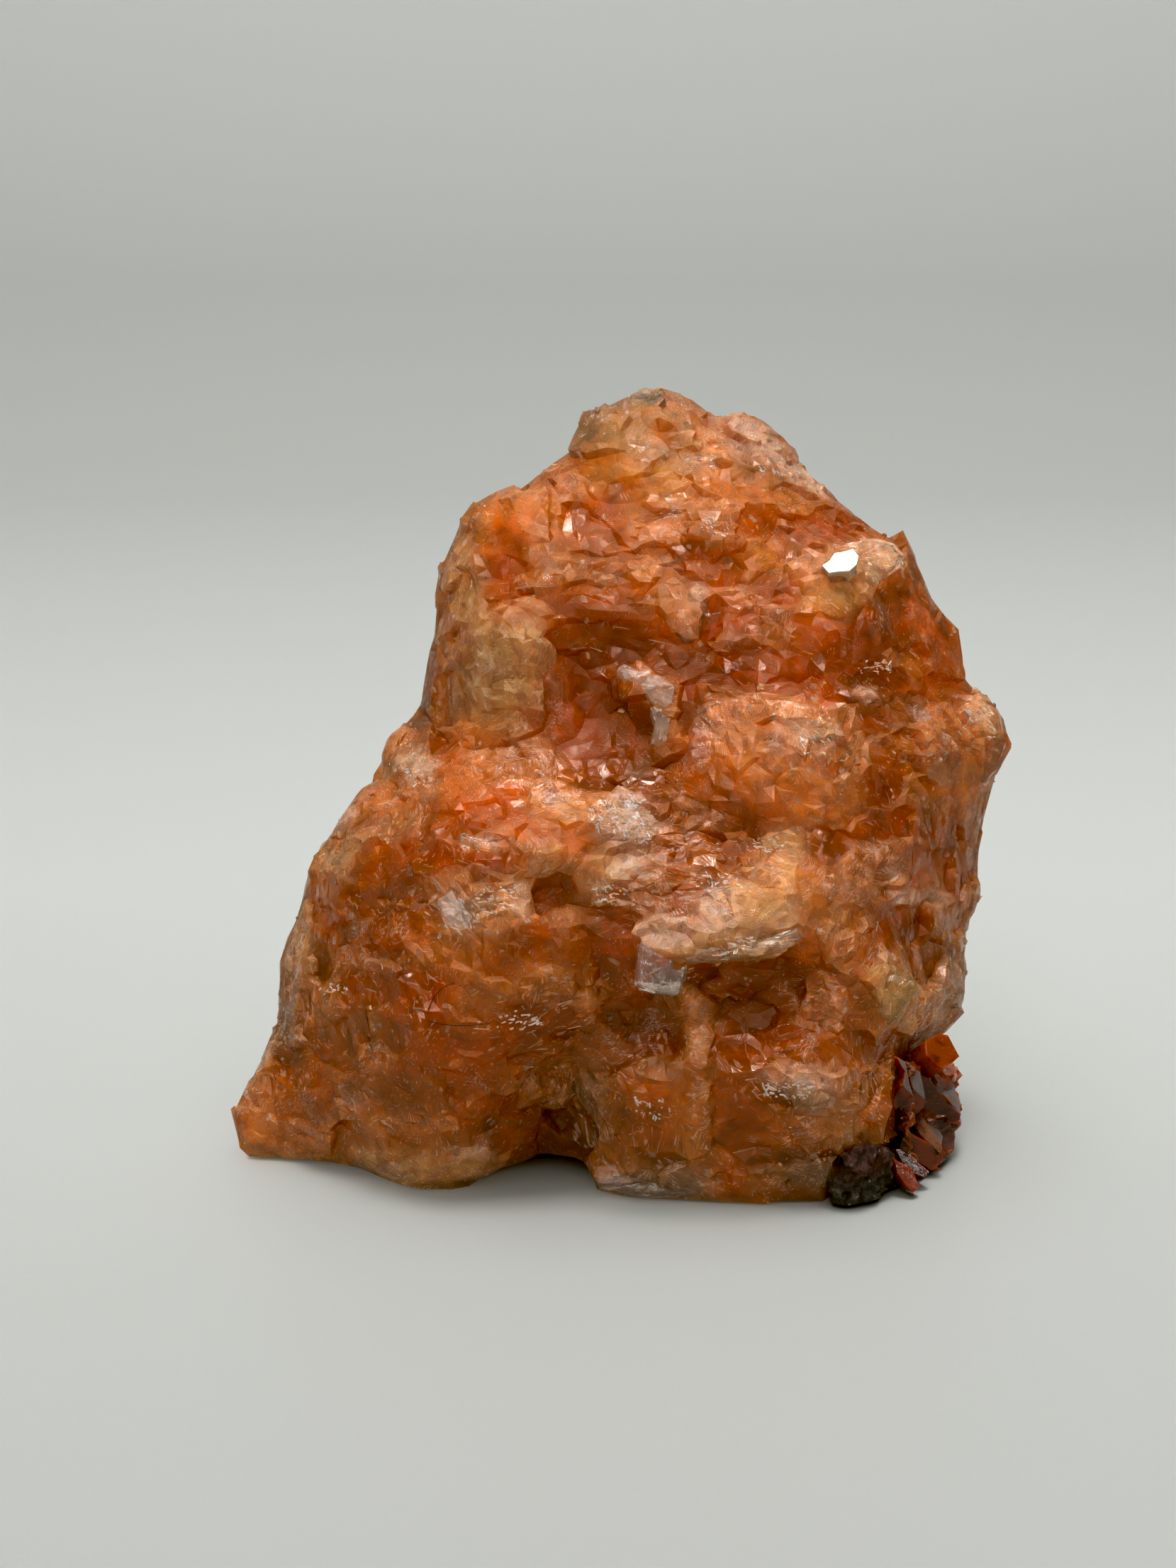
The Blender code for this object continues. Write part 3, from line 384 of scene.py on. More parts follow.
    (1060, 1245, 34, 20, 0, "pale", 0.3, 0, 18, 30), (1105, 1195, 26, 34, 10, "pale", 0.4, 2, 14, 80),
    (1100, 1240, 26, 26, 0, "fibre", 0.4, 2, 12, 70), (1085, 1290, 44, 34, 0, "milk", 0.6, 2, 6, 80),
    (1030, 1325, 50, 14, -4, "pale", 0.8, 0, 34, 0), (1100, 1318, 34, 14, -10, "white", 0.8, 2, 30, -10),
    (1020, 1345, 50, 8, -4, "yellow", 0.8, 0, -30, 0), (1135, 1340, 20, 30, 0, "amber", 0.2, 6, 0, 70),
    (1150, 1260, 26, 40, 0, "peach", 0.2, 6, 6, 70), (1165, 1205, 24, 22, 0, "red", 0.0, 6, 16, 40),
    (1195, 1245, 34, 34, 0, "lilac", 0.3, 8, 12, 40), (1235, 1205, 30, 22, 0, "lilac", 0.3, 12, 18, 80),
    (1180, 1300, 30, 30, 0, "fibre", 0.3, 8, 6, -45), (1205, 1345, 36, 34, 0, "pink", 0.3, 10, 2, -45),
    # The deep grains at 1040,1385 and 1000,1375 paint the shade in the hollow under the pale ledge.
    (1040, 1385, 60, 26, 0, "deep", -0.5, 2, -6, 10), (1000, 1375, 30, 26, 0, "deep", -0.5, 0, -4, 30),
    (1050, 1430, 50, 26, 0, "brown", -0.3, 2, 0, -50), (1110, 1400, 34, 30, 0, "deep", -0.3, 4, -2, 30),
    (1165, 1420, 44, 40, 0, "lilac", -0.1, 6, 0, 60), (1215, 1430, 30, 30, 0, "brown", 0.0, 12, 0, 60),
    (1255, 1400, 34, 44, 6, "pale", 0.7, 12, 4, 70), (1110, 1460, 44, 24, 0, "deep", -0.1, 2, 2, 20),
    (1050, 1490, 50, 24, 0, "orange", 0.0, 2, 2, 40), (1130, 1490, 40, 20, 0, "speck", 0.1, 4, 4, 20),
    (1195, 1485, 40, 30, 0, "brown", 0.1, 8, 2, 50), (1245, 1480, 20, 34, 0, "deep", 0.1, 20, 0, 80),
    (1120, 1520, 60, 18, 14, "white", 0.4, 2, 30, 16), (1090, 1545, 40, 12, 20, "dark", -0.2, 2, -6, 20),
    (1150, 1555, 40, 16, 10, "grey", 0.3, 4, 24, 14), (1040, 1555, 50, 34, 0, "orange", 0.0, 0, 0, 70),
    (1060, 1600, 60, 24, 0, "orange", 0.0, 0, -2, 20), (1140, 1590, 44, 20, 10, "speck", 0.1, 2, 6, 20),
    (1215, 1535, 40, 30, 0, "speck", 0.2, 8, 2, 50), (1210, 1580, 34, 26, 0, "peach", 0.3, 8, 2, 50),
    (1245, 1560, 16, 50, 0, "orange", 0.3, 26, 0, 84), (1245, 1625, 18, 24, 0, "red", 0.1, 24, 0, 84),
    # foot
    (890, 1665, 50, 20, 4, "grey", 0.5, -4, 6, 5), (960, 1665, 44, 22, 4, "grey", 0.3, 0, 2, 60),
    (930, 1640, 34, 14, 0, "dark", 0.1, 0, 4, 10), (1030, 1665, 34, 20, 0, "orange", 0.2, 0, -2, 40),
    (1000, 1640, 30, 18, 0, "peach", 0.2, 0, 4, 40), (1085, 1665, 34, 20, 0, "speck", 0.1, 0, -2, 20),
    (1100, 1635, 40, 14, -10, "dark", 0.0, 0, 6, 10), (1145, 1665, 34, 22, 0, "dark", 0.1, 2, -2, 40),
    (1170, 1625, 30, 20, 0, "speck", 0.2, 4, 2, 60), (1200, 1660, 30, 30, 0, "dark", 0.0, 6, 0, 60),
]

# ------------------------------------------------------------------ marks placed one by one on the grains
# centre, half width, half height, turn in degrees, what it is, how strong
MARKS = [
    # The pale pink frost marks also paint a pink-lilac sheen and patches of glints of reflected light.
    (907, 563, 15, 6, -8, "clear", 1.0), (933, 612, 17, 12, 0, "amber", 0.9), (877, 681, 32, 9, 4, "amber", 0.8),
    (989, 657, 20, 12, 0, "frost_and_sheen", 0.7), (945, 655, 16, 12, 0, "pale", 0.6), (950, 722, 20, 13, -8, "frost_and_sheen", 0.9),
    (1060, 600, 40, 16, 20, "white", 0.5), (1100, 640, 36, 14, 44, "white", 0.6), (1150, 680, 26, 10, 40, "white", 0.6),
    (1082, 668, 20, 12, 30, "frost_and_sheen", 0.5), (1190, 705, 14, 8, 30, "clear", 1.0),
    # The small white mark at 757,710 is a painted glint.
    (728, 687, 30, 8, -10, "frost_and_sheen", 0.7), (798, 690, 20, 8, -50, "frost_and_sheen", 0.6), (757, 710, 10, 3, 0, "white", 0.7),
    (704, 793, 12, 12, 0, "deep", 0.9), (715, 770, 24, 26, 0, "amber", 0.6), (765, 800, 22, 7, 30, "frost_and_sheen", 0.6),
    (800, 785, 20, 6, -40, "frost_and_sheen", 0.6), (851, 816, 26, 14, 4, "frost_and_sheen", 0.7), (786, 857, 26, 7, 10, "frost_and_sheen", 0.6),
    (786, 850, 9, 12, 0, "deep", 0.5), (940, 812, 26, 10, 4, "frost_and_sheen", 0.6), (905, 850, 30, 8, 8, "frost_and_sheen", 0.4),
    (1020, 790, 30, 24, 0, "deep", 0.7), (1085, 830, 34, 22, 0, "deep", 0.7), (980, 770, 24, 14, 0, "deep", 0.6),
    (1160, 752, 40, 16, 10, "deep", 0.8), (1178, 850, 34, 20, 0, "pale", 0.6), (1180, 872, 20, 16, 20, "amber", 0.4),
    (1250, 862, 18, 30, 0, "dark", 0.7), (1262, 905, 20, 30, 0, "dark", 0.6), (1240, 958, 36, 14, 6, "dark", 0.8),
    (1280, 1010, 26, 20, 0, "dark", 0.5), (1218, 975, 20, 8, 12, "frost_and_sheen", 1.0), (1303, 1008, 14, 10, 20, "white", 0.8),
    (1092, 880, 16, 30, 10, "frost_and_sheen", 0.7), (1035, 838, 14, 8, 0, "frost_and_sheen", 0.8), (1062, 842, 12, 8, 0, "frost_and_sheen", 0.7),
    (1032, 908, 9, 7, 0, "white", 0.7), (1065, 912, 10, 8, 0, "frost_and_sheen", 0.8), (1080, 905, 8, 8, 0, "frost_and_sheen", 0.8),
    (960, 925, 60, 26, 0, "deep", 0.5), (870, 960, 60, 40, 0, "deep", 0.3), (880, 1015, 20, 20, 0, "dark", 0.5),
    (1020, 935, 70, 24, 0, "deep", 0.5), (782, 970, 11, 6, 0, "lilacmirror", 1.0), (815, 972, 8, 6, 0, "frost_and_sheen", 0.8),
    # The dark marks at 905,1075, 870,1095 and 960,1090 paint the shadow under the overhanging upper block.
    (838, 985, 12, 7, 20, "frost_and_sheen", 0.8), (860, 1040, 26, 40, 0, "deep", 0.4), (905, 1075, 40, 16, 0, "dark", 0.7),
    (870, 1095, 50, 9, -4, "dark", 0.9), (960, 1090, 30, 12, -20, "dark", 0.5), (895, 1080, 20, 5, 0, "frost_and_sheen", 0.6),
    (970, 1080, 8, 14, 0, "white", 0.5), (740, 1070, 44, 34, -14, "frost_and_sheen", 0.5), (690, 1065, 46, 20, -10, "frost_and_sheen", 0.4),
    (760, 1100, 26, 10, 0, "frost_and_sheen", 0.4), (1000, 1098, 44, 16, 14, "amber", 0.8), (960, 1060, 14, 40, 0, "amber", 0.5),
    (1048, 1048, 30, 26, 0, "frost_and_sheen", 0.4), (1120, 1050, 34, 26, 0, "frost_and_sheen", 0.6), (1100, 1010, 10, 8, 0, "white", 0.8),
    (1150, 1030, 34, 7, 14, "white", 0.8), (1205, 1060, 14, 34, 10, "pale", 0.6), (1262, 1050, 30, 20, 20, "frost_and_sheen", 0.5),
    (1285, 1002, 12, 8, 0, "white", 0.8), (1255, 1100, 30, 30, 0, "deep", 0.4), (1400, 1012, 30, 16, 30, "white", 0.7),
    (1370, 1010, 30, 12, 28, "frost_and_sheen", 0.7), (1330, 1040, 36, 26, 30, "frost_and_sheen", 0.4), (1415, 1060, 12, 34, 0, "amber", 0.5),
    (705, 960, 50, 76, 8, "pale", 1.0), (690, 945, 18, 40, 12, "white", 0.8), (725, 905, 30, 26, 0, "pale", 0.8),
    # ledge
    (895, 1150, 32, 28, 30, "white", 0.9), (870, 1172, 24, 18, 0, "white", 0.7), (785, 1130, 22, 14, 30, "white", 0.6),
    (700, 1150, 36, 14, 0, "deep", 0.5), (722, 1160, 14, 18, 0, "red", 0.6), (930, 1133, 26, 20, 0, "red", 1.0),
    (985, 1138, 46, 12, 4, "frost_and_sheen", 0.8), (1025, 1160, 34, 16, 10, "frost_and_sheen", 0.7), (1000, 1150, 10, 5, 0, "white", 0.7),
    (760, 1180, 22, 20, 0, "amber", 0.8), (820, 1195, 26, 22, 0, "amber", 0.6), (780, 1215, 34, 16, 0, "pale", 0.4),
    (845, 1225, 24, 24, 0, "pale", 0.5), (880, 1180, 26, 20, 0, "frost_and_sheen", 0.6), (880, 1225, 34, 8, -4, "white", 0.6),
    (878, 1262, 40, 22, 14, "frost_and_sheen", 0.7), (890, 1272, 24, 8, 10, "white", 0.7), (845, 1245, 22, 10, 30, "white", 0.6),
    (775, 1260, 26, 22, 0, "deep", 0.9), (1090, 1185, 14, 14, 0, "white", 0.5), (1112, 1225, 16, 34, 6, "pale", 0.7),
    (1100, 1170, 16, 10, 0, "white", 0.6), (1000, 1200, 60, 36, 0, "red", 0.5), (960, 1240, 40, 26, 0, "frost_and_sheen", 0.5),
    (1000, 1280, 40, 26, 20, "frost_and_sheen", 0.5), (1040, 1250, 40, 12, -30, "white", 0.4), (960, 1270, 14, 16, -30, "red", 0.8),
    (1000, 1300, 44, 9, -4, "white", 0.7), (1110, 1325, 20, 8, 0, "white", 0.9), (1085, 1290, 34, 26, 0, "clear", 0.6),
    (1005, 1335, 24, 9, 0, "amber", 0.6), (1050, 1342, 50, 8, -4, "pale", 0.8), (1140, 1335, 14, 14, 0, "amber", 0.8),
    (1195, 1235, 40, 30, 0, "frost_and_sheen", 0.7), (1240, 1205, 26, 16, 0, "frost_and_sheen", 0.5), (1255, 1240, 20, 16, 30, "frost_and_sheen", 0.6),
    (1218, 1258, 12, 12, 0, "white", 0.7), (1170, 1252, 16, 6, 0, "white", 0.6), (1262, 1232, 10, 8, 0, "white", 0.7),
    (1290, 1262, 36, 7, -4, "white", 0.6), (1240, 1260, 26, 6, 0, "dark", 0.4), (1262, 1300, 34, 26, 0, "deep", 0.7),
    (1290, 1180, 60, 40, 0, "amber", 0.3), (1250, 1345, 14, 6, 10, "frost_and_sheen", 0.7), (1283, 1340, 5, 6, 0, "white", 0.6),
    # The deep mark at 1040,1380 and the dark mark at 985,1365 paint the shade in the hollow under the pale ledge.
    (1200, 1320, 40, 36, 0, "frost_and_sheen", 0.5), (1040, 1380, 70, 30, 0, "deep", 0.8), (985, 1365, 24, 20, 0, "dark", 0.4),
    (870, 1360, 26, 40, 0, "deep", 0.7), (925, 1440, 34, 34, 0, "dark", 0.5), (1165, 1420, 44, 34, 0, "frost_and_sheen", 0.5),
    (1195, 1390, 30, 8, 16, "red", 0.5),
    # left block
    (490, 1200, 40, 16, -24, "olive", 0.8), (460, 1255, 26, 22, -30, "amber", 1.0), (640, 1180, 60, 16, 6, "deep", 0.6),
    (560, 1215, 34, 26, 0, "deep", 0.5), (675, 1225, 60, 14, 8, "deep", 0.7), (555, 1160, 34, 24, 0, "pale", 0.3),
    # The white marks at 590,1265 and 560,1278 are painted glints.
    (590, 1265, 9, 4, 6, "white", 0.8), (560, 1278, 5, 9, 0, "white", 0.8), (645, 1262, 40, 20, 20, "frost_and_sheen", 0.6),
    (650, 1288, 30, 18, 0, "white", 0.7), (738, 1288, 12, 12, 0, "white", 0.7), (725, 1245, 24, 20, 0, "pale", 0.5),
    (425, 1345, 20, 40, 0, "frost_and_sheen", 0.6), (415, 1420, 22, 40, 0, "frost_and_sheen", 0.5), (455, 1345, 10, 40, 0, "dark", 0.3),
    (540, 1364, 24, 10, 0, "frost_and_sheen", 0.9), (505, 1355, 20, 14, 10, "frost_and_sheen", 0.6), (550, 1385, 70, 8, 0, "red", 0.5),
    (540, 1340, 60, 6, 0, "red", 0.5), (600, 1440, 80, 50, 0, "deep", 0.3), (520, 1440, 30, 30, 0, "olive", 0.5),
    (620, 1490, 60, 26, 0, "deep", 0.5), (672, 1405, 40, 34, 0, "frost_and_sheen", 0.3), (640, 1500, 5, 4, 0, "white", 0.7),
    (500, 1555, 30, 16, 14, "frost_and_sheen", 0.6), (495, 1552, 10, 6, 20, "white", 0.8), (525, 1488, 16, 6, 30, "frost_and_sheen", 0.7),
    (372, 1480, 10, 18, 0, "pale", 0.9), (405, 1480, 28, 5, 4, "dark", 0.9), (385, 1560, 34, 24, 0, "frost_and_sheen", 0.4),
    (350, 1610, 20, 16, 0, "olive", 0.5), (440, 1600, 40, 16, 0, "frost_and_sheen", 0.4), (600, 1600, 60, 20, 0, "deep", 0.3),
    (560, 1650, 34, 10, 8, "white", 0.6), (660, 1628, 26, 10, 0, "white", 0.6), (620, 1655, 60, 12, -4, "pale", 0.9),
    (600, 1625, 44, 14, 0, "pale", 0.5), (520, 1630, 20, 8, 14, "pale", 0.8), (790, 1410, 34, 6, 12, "white", 0.5),
    (780, 1440, 44, 26, -20, "red", 0.4), (700, 1560, 50, 40, 0, "amber", 0.3), (770, 1551, 44, 6, -10, "frost_and_sheen", 0.8),
    # The dark marks at 815,1590 and 790,1625 paint the shade in the recess above the arch.
    (815, 1590, 30, 40, 0, "dark", 0.7), (790, 1625, 40, 20, 0, "dark", 0.7), (745, 1525, 16, 16, 0, "frost_and_sheen", 0.9),
    (745, 1560, 8, 6, 0, "white", 0.6), (860, 1540, 20, 60, 0, "frost_and_sheen", 0.4), (925, 1512, 13, 14, 0, "clear", 0.8),
    (840, 1600, 20, 40, 0, "frost_and_sheen", 0.6),
    # right lower
    (985, 1560, 12, 50, 4, "frost_and_sheen", 0.8), (925, 1590, 24, 50, 0, "amber", 0.5), (985, 1450, 14, 50, 4, "frost_and_sheen", 0.6),
    (1120, 1515, 54, 8, 16, "white", 0.8), (1140, 1530, 40, 10, 10, "frost_and_sheen", 0.8), (1090, 1545, 30, 6, 24, "dark", 0.8),
    (1150, 1500, 30, 10, 0, "frost_and_sheen", 0.6), (1130, 1585, 50, 20, 8, "frost_and_sheen", 0.6), (1225, 1515, 30, 16, 0, "frost_and_sheen", 0.7),
    (1215, 1600, 20, 14, 0, "pale", 0.7), (1215, 1560, 24, 20, 0, "frost_and_sheen", 0.6), (1050, 1590, 60, 26, 0, "amber", 0.4),
    (1310, 1440, 26, 18, -50, "frost_and_sheen", 0.6), (1345, 1390, 16, 40, 30, "frost_and_sheen", 0.8), (1280, 1370, 14, 30, 0, "frost_and_sheen", 0.4),
    (870, 1648, 34, 12, 6, "frost_and_sheen", 0.6), (900, 1668, 40, 14, 4, "smoke", 0.8), (960, 1668, 30, 14, 0, "smoke", 0.7),
    (985, 1655, 14, 10, 0, "white", 0.7), (1000, 1675, 20, 8, 0, "white", 0.5), (935, 1640, 30, 8, 6, "dark", 0.8),
    (1100, 1640, 60, 10, -8, "dark", 0.9), (1085, 1665, 40, 14, 0, "smoke", 0.5), (1150, 1660, 44, 22, 0, "smoke", 0.9),
    (1195, 1655, 24, 30, 0, "black", 0.9), (1170, 1610, 30, 12, 0, "frost_and_sheen", 0.5), (1210, 1640, 20, 20, 0, "black", 0.7),
]
# lilacmirror is a painted grey-lilac reflection on a mirror-like chip.
MARK_TINTS = {
    "clear": (0.90, 0.84, 0.72), "amber": (0.84, 0.24, 0.010), "deep": (0.58, 0.075, 0.004), "dark": (0.22, 0.014, 0.002),
    "red": (0.46, 0.035, 0.003), "pale": (0.92, 0.64, 0.32), "frost_and_sheen": (0.80, 0.42, 0.30), "white": (0.86, 0.71, 0.62),
    "lilacmirror": (0.64, 0.50, 0.54), "olive": (0.58, 0.32, 0.08), "smoke": (0.26, 0.17, 0.11), "black": (0.02, 0.018, 0.016),
}


# ------------------------------------------------------------------ the lump
def lump():
    voxel = 0.00047
    mesh = voxel_copy("polyhalite_mass", voxel)
    co, no = arrays_of(mesh)
    edges = edges_of(mesh)
    flat = co[:, 2] < voxel * 0.9
    for _ in range(5):
        co = relax(co, edges, 1)
        co[flat, 2] = np.minimum(co[flat, 2], 0.00002)
    co[:, 2] = np.maximum(co[:, 2], 0.0)
    mesh.vertices.foreach_set("co", co.astype(np.float32).ravel())
    mesh.update()

    # A finer mesh where the front face and its outline are.
    bm = bmesh.new()
    bm.from_mesh(mesh)
    bm.normal_update()
    eye = Vector(EYE)
    fine = [f for f in bm.faces if f.normal.dot((eye - f.calc_center_median()).normalized()) > -0.12 and f.normal.z > -0.93]
    picked = {e for f in fine for e in f.edges}
    bmesh.ops.subdivide_edges(bm, edges=list(picked), cuts=1, use_grid_fill=True, smooth=0.0)
    bmesh.ops.triangulate(bm, faces=[f for f in bm.faces if len(f.verts) > 4])
    bm.to_mesh(mesh)
    bm.free()
    mesh.update()
    co, no = arrays_of(mesh)
    edges = edges_of(mesh)
    flat = co[:, 2] < 0.00006
    co = relax(co, edges, 3, keep=flat)
    mesh.vertices.foreach_set("co", co.astype(np.float32).ravel())
    mesh.update()
    co, no = arrays_of(mesh)
    return mesh, co, no, edges


def bvh_of(mesh):
    mesh.calc_loop_triangles()
    verts = [v.co.copy() for v in mesh.vertices]
    tris = [t.vertices[:] for t in mesh.loop_triangles]
    return BVHTree.FromPolygons(verts, tris)


def basis(normal):
    """Directions to the right and upwards in the face with this normal."""
    right = np.cross(np.array((0, 0, 1.0)), normal)
    if np.linalg.norm(right) < 1e-3:
        right = np.array((1.0, 0, 0))
    right /= np.linalg.norm(right)
    up = np.cross(normal, right)
    return right, up


def reach_of(pu, pv, u, v, a, b, turn, power=2.4):
    t = math.radians(turn)
    du, dv = pu - u, pv - v
    x = np.abs((math.cos(t) * du + math.sin(t) * dv) / a)
    y = np.abs((-math.sin(t) * du + math.cos(t) * dv) / b)
    return (x**power + y**power) ** (1 / power)


def random_of(code, salt):
    return hashed(code, code * 0, code * 0, salt)


def flattened(p, n, code, amount, lean, lift, salt, cap):
    """Heights that turn each cell of the skin into a flat face, leaning at random."""
    values, inverse = np.unique(code, return_inverse=True)
    count = np.bincount(inverse)
    middle = np.stack([np.bincount(inverse, p[:, k]) / count for k in range(3)], 1)
    normal = unit(np.stack([np.bincount(inverse, n[:, k]) for k in range(3)], 1))
    tilt = np.stack([random_of(values, salt + s) - 0.5 for s in (7, 8, 9)], 1) * 2 * lean
    tilt -= normal * (tilt * normal).sum(1)[:, None]
    face = unit(normal + tilt)[inverse]
    slope = ((middle[inverse] - p) * face).sum(1) / np.maximum((n * face).sum(1), 0.45)
    raised = (random_of(values, salt + 10) - 0.5)[inverse] * 2 * lift
    return np.clip(slope * amount + raised, -cap, cap)


def write_places(mesh, p):
    mesh.vertices.foreach_set("co", (p / 1000).astype(np.float32).ravel())
    mesh.update()
    return unit(arrays_of(mesh)[1])


def build_lump():
    mesh, co, no, edges = lump()
    p = co * 1000
    n = unit(no)
    n = unit(spread(n, edges, 6))
    count = len(p)
    place, _ = project(co)
    facing = (n * unit(EYE - co)).sum(1)

    # The drawing place is warped, so that grain edges are ragged.
    wu = 9 * fractal(p, 2.6, 11, 2) + 5 * value_noise(p, 0.7, 13)
    wv = 9 * fractal(p, 2.6, 21, 2) + 5 * value_noise(p, 0.7, 23)
    pu, pv = place[:, 0] + wu, place[:, 1] + wv
    best = np.full(count, 1e9)
    owner = np.full(count, -1)
    soft = np.zeros((count, 3))
    soft_weight = np.full(count, 1e-9)
    for index, (u, v, a, b, turn, proud, *_rest) in enumerate([g[:5] + g[6:] for g in GRAINS]):
        where = np.nonzero((np.abs(pu - u) < 150) & (np.abs(pv - v) < 150) & (facing > -0.15))[0]
        if not len(where):
            continue
        reach = reach_of(pu[where], pv[where], u, v, a, b, turn, 2.6)
        nearer = reach < best[where]
        best[where] = np.minimum(best[where], reach)
        owner[where[nearer]] = index
        w = np.exp(-1.1 * reach**2)
        soft[where] += w[:, None] * np.array(KINDS[GRAINS[index][5]][0])
        soft_weight[where] += w
    soft /= soft_weight[:, None]

    # Random grains over the faces that the elevation doesn't show.
    jumble = 0.6 * np.stack([fractal(p, 2.2, s, 2) for s in (31, 32, 33)], 1)
    ident, middle, border = cells(p + jumble, 3.4, 41)
    use_cell = (facing < 0.02) | (best > 2.2) | (owner < 0)
    broad_a = smoothstep(-0.5, 0.5, fractal(p, 7.0, 301, 2))[:, None]
    broad_b = smoothstep(0.0, 0.6, fractal(p, 5.0, 302, 2))[:, None]
    wild = np.array(KINDS["orange"][0]) * (1 - broad_a) + np.array(KINDS["peach"][0]) * broad_a
    wild = wild * (1 - 0.8 * broad_b) + np.array(KINDS["deep"][0]) * 0.8 * broad_b
    hidden = (1 - smoothstep(-0.05, 0.10, facing))[:, None]
    hidden = np.where((best > 2.2)[:, None], 1.0, hidden)
    soft = soft * (1 - hidden) + wild * hidden

    tint = np.zeros((count, 3))
    finish = np.zeros((count, 5))
    fibre = np.zeros((count, 3))
    relief = np.zeros(count)
    for index, (u, v, a, b, turn, kind, proud, right_deg, up_deg, fib) in enumerate(GRAINS):
        mine = (owner == index) & ~use_cell
        if not mine.any():
            continue
        normal = unit(n[mine].mean(0))
        centre = p[mine].mean(0)
        right, up = basis(normal)
        face = unit(normal + right * math.tan(math.radians(right_deg)) * 0.30 + up * math.tan(math.radians(up_deg)) * 0.30)
        slope = ((centre - p[mine]) @ face) / np.maximum((n[mine] * face).sum(1), 0.4)
        relief[mine] = np.clip(proud * 0.5 + 0.6 * slope, -0.65, 0.65)
        tint[mine] = KINDS[kind][0]
        finish[mine] = KINDS[kind][1:]
        along = math.cos(math.radians(fib)) * np.array((1.0, 0, 0)) - math.sin(math.radians(fib)) * UPWARD
        fibre[mine] = unit(along - normal * (along @ normal))
    pool = ["amber", "orange", "deep", "brown", "peach", "pink", "lilac", "orange", "fibre", "pale", "deep", "brown", "red", "amber", "orange"]
    for code in np.unique(ident[use_cell]):
        mine = use_cell & (ident == code)
        pick = np.random.default_rng(int(code))
        kind = pool[int(pick.integers(len(pool)))]
        normal = unit(n[mine].mean(0))
        centre = p[mine].mean(0)
        right, up = basis(normal)
        r, u_ = pick.uniform(-0.28, 0.28, 2)
        face = unit(normal + right * r + up * u_)
        slope = ((centre - p[mine]) @ face) / np.maximum((n[mine] * face).sum(1), 0.4)
        relief[mine] = np.clip(pick.uniform(-0.25, 0.30) + 0.8 * slope, -0.65, 0.65)
        tint[mine] = KINDS[kind][0]
        finish[mine] = KINDS[kind][1:]
        angle = pick.uniform(0, math.pi)
        fibre[mine] = math.cos(angle) * right + math.sin(angle) * up
    group = np.where(use_cell, ident, owner + 1)

    # Flat faces of broken crystal at three sizes, longer along the fibres.
    rugged = spread(0.45 + 0.55 * smoothstep(0.08, 0.40, finish[:, 0]), edges, 3)
    fade = (0.35 + 0.65 * smoothstep(0.0, 0.35, np.abs(facing))) * smoothstep(0.0, 1.4, p[:, 2])
    relief = spread(relief, edges, 2) * fade
    base_n = n
    here = p + base_n * relief[:, None]
    crisp = write_places(mesh, here)
    chances = []
    drawn = p - 0.45 * fibre * (p * fibre).sum(1)[:, None]
    for size, amount, lean, lift, salt, cap in ((2.7, 0.80, 0.24, 0.16, 51, 0.60), (1.25, 0.80, 0.24, 0.07, 61, 0.28), (0.62, 0.75, 0.26, 0.03, 71, 0.13)):
        warped = drawn + 0.13 * size * np.stack([value_noise(p, size * 0.6, salt + s) for s in (3, 4, 5)], 1)
        code = (cells(warped, size, salt)[0] * 31 + group * 7919) & 0xFFFFFF
        height = flattened(here, crisp, code, amount, lean, lift, salt, cap)
        here = here + base_n * (height * fade * (rugged if size < 2 else 0.7 + 0.3 * rugged))[:, None]
        crisp = write_places(mesh, here)
        chances.append((random_of(code, salt + 21), random_of(code, salt + 22)))

    # Fibres turn a little from face to face.
    turn = (chances[0][0] - 0.5) * math.radians(50) + (chances[1][0] - 0.5) * math.radians(26)
    fibre = unit(fibre - base_n * (fibre * base_n).sum(1)[:, None])
    fibre = np.cos(turn)[:, None] * fibre + np.sin(turn)[:, None] * np.cross(base_n, fibre)

    # Cleavage steps across the fibres, and roughness.
    across = unit(np.cross(base_n, fibre))
    wave = (p * across).sum(1) / 0.62 + 0.5 * value_noise(p, 1.6, 71)
    step = (wave - np.floor(wave)) - 0.5
    small = 0.09 * step * finish[:, 2] * smoothstep(-0.3, 0.5, value_noise(p, 2.4, 72)) * rugged
    small += (0.035 * value_noise(p, 0.45, 81) + 0.03 * value_noise(p, 0.24, 82)) * rugged
    here = here + base_n * (small * fade)[:, None]
    here[:, 2] = np.maximum(here[:, 2], 0.0)
    here[(co[:, 2] < 0.0003) & (base_n[:, 2] < -0.9), 2] = 0.0
    crisp = write_places(mesh, here)

    tint = 0.65 * spread(tint, edges, 4) + 0.35 * soft
    finish = spread(finish, edges, 5)
    near = facing > 0.03
    for u, v, a, b, turn, what, strength in MARKS:
        w = np.where(near, smoothstep(1.35, 0.6, reach_of(pu, pv, u, v, a, b, turn, 2.0)) * strength, 0.0)[:, None]
        tint += (np.array(MARK_TINTS[what]) - tint) * w * (0.40 if what in ("frost_and_sheen", "white") else 0.75)
        goal = {
            "clear": (0.05, 0.12, 0.2, 0.1, 0.90), "frost_and_sheen": (0.85, 0.34, 0.7, 0.7, 0.15), "white": (0.95, 0.42, 0.6, 1.0, 0.0),
            "lilacmirror": (0.3, 0.10, 0.0, 0.0, 0.2), "pale": (0.35, 0.26, 0.4, 0.3, 0.5), "smoke": (0.35, 0.25, 0.4, 0.9, 0.4),
            "black": (0.1, 0.35, 0.2, 0.8, 0.0), "dark": (0.04, 0.24, 0.2, 0.4, 0.3),
        }.get(what)
        if goal is not None:
            finish += (np.array(goal) - finish) * w * 0.8

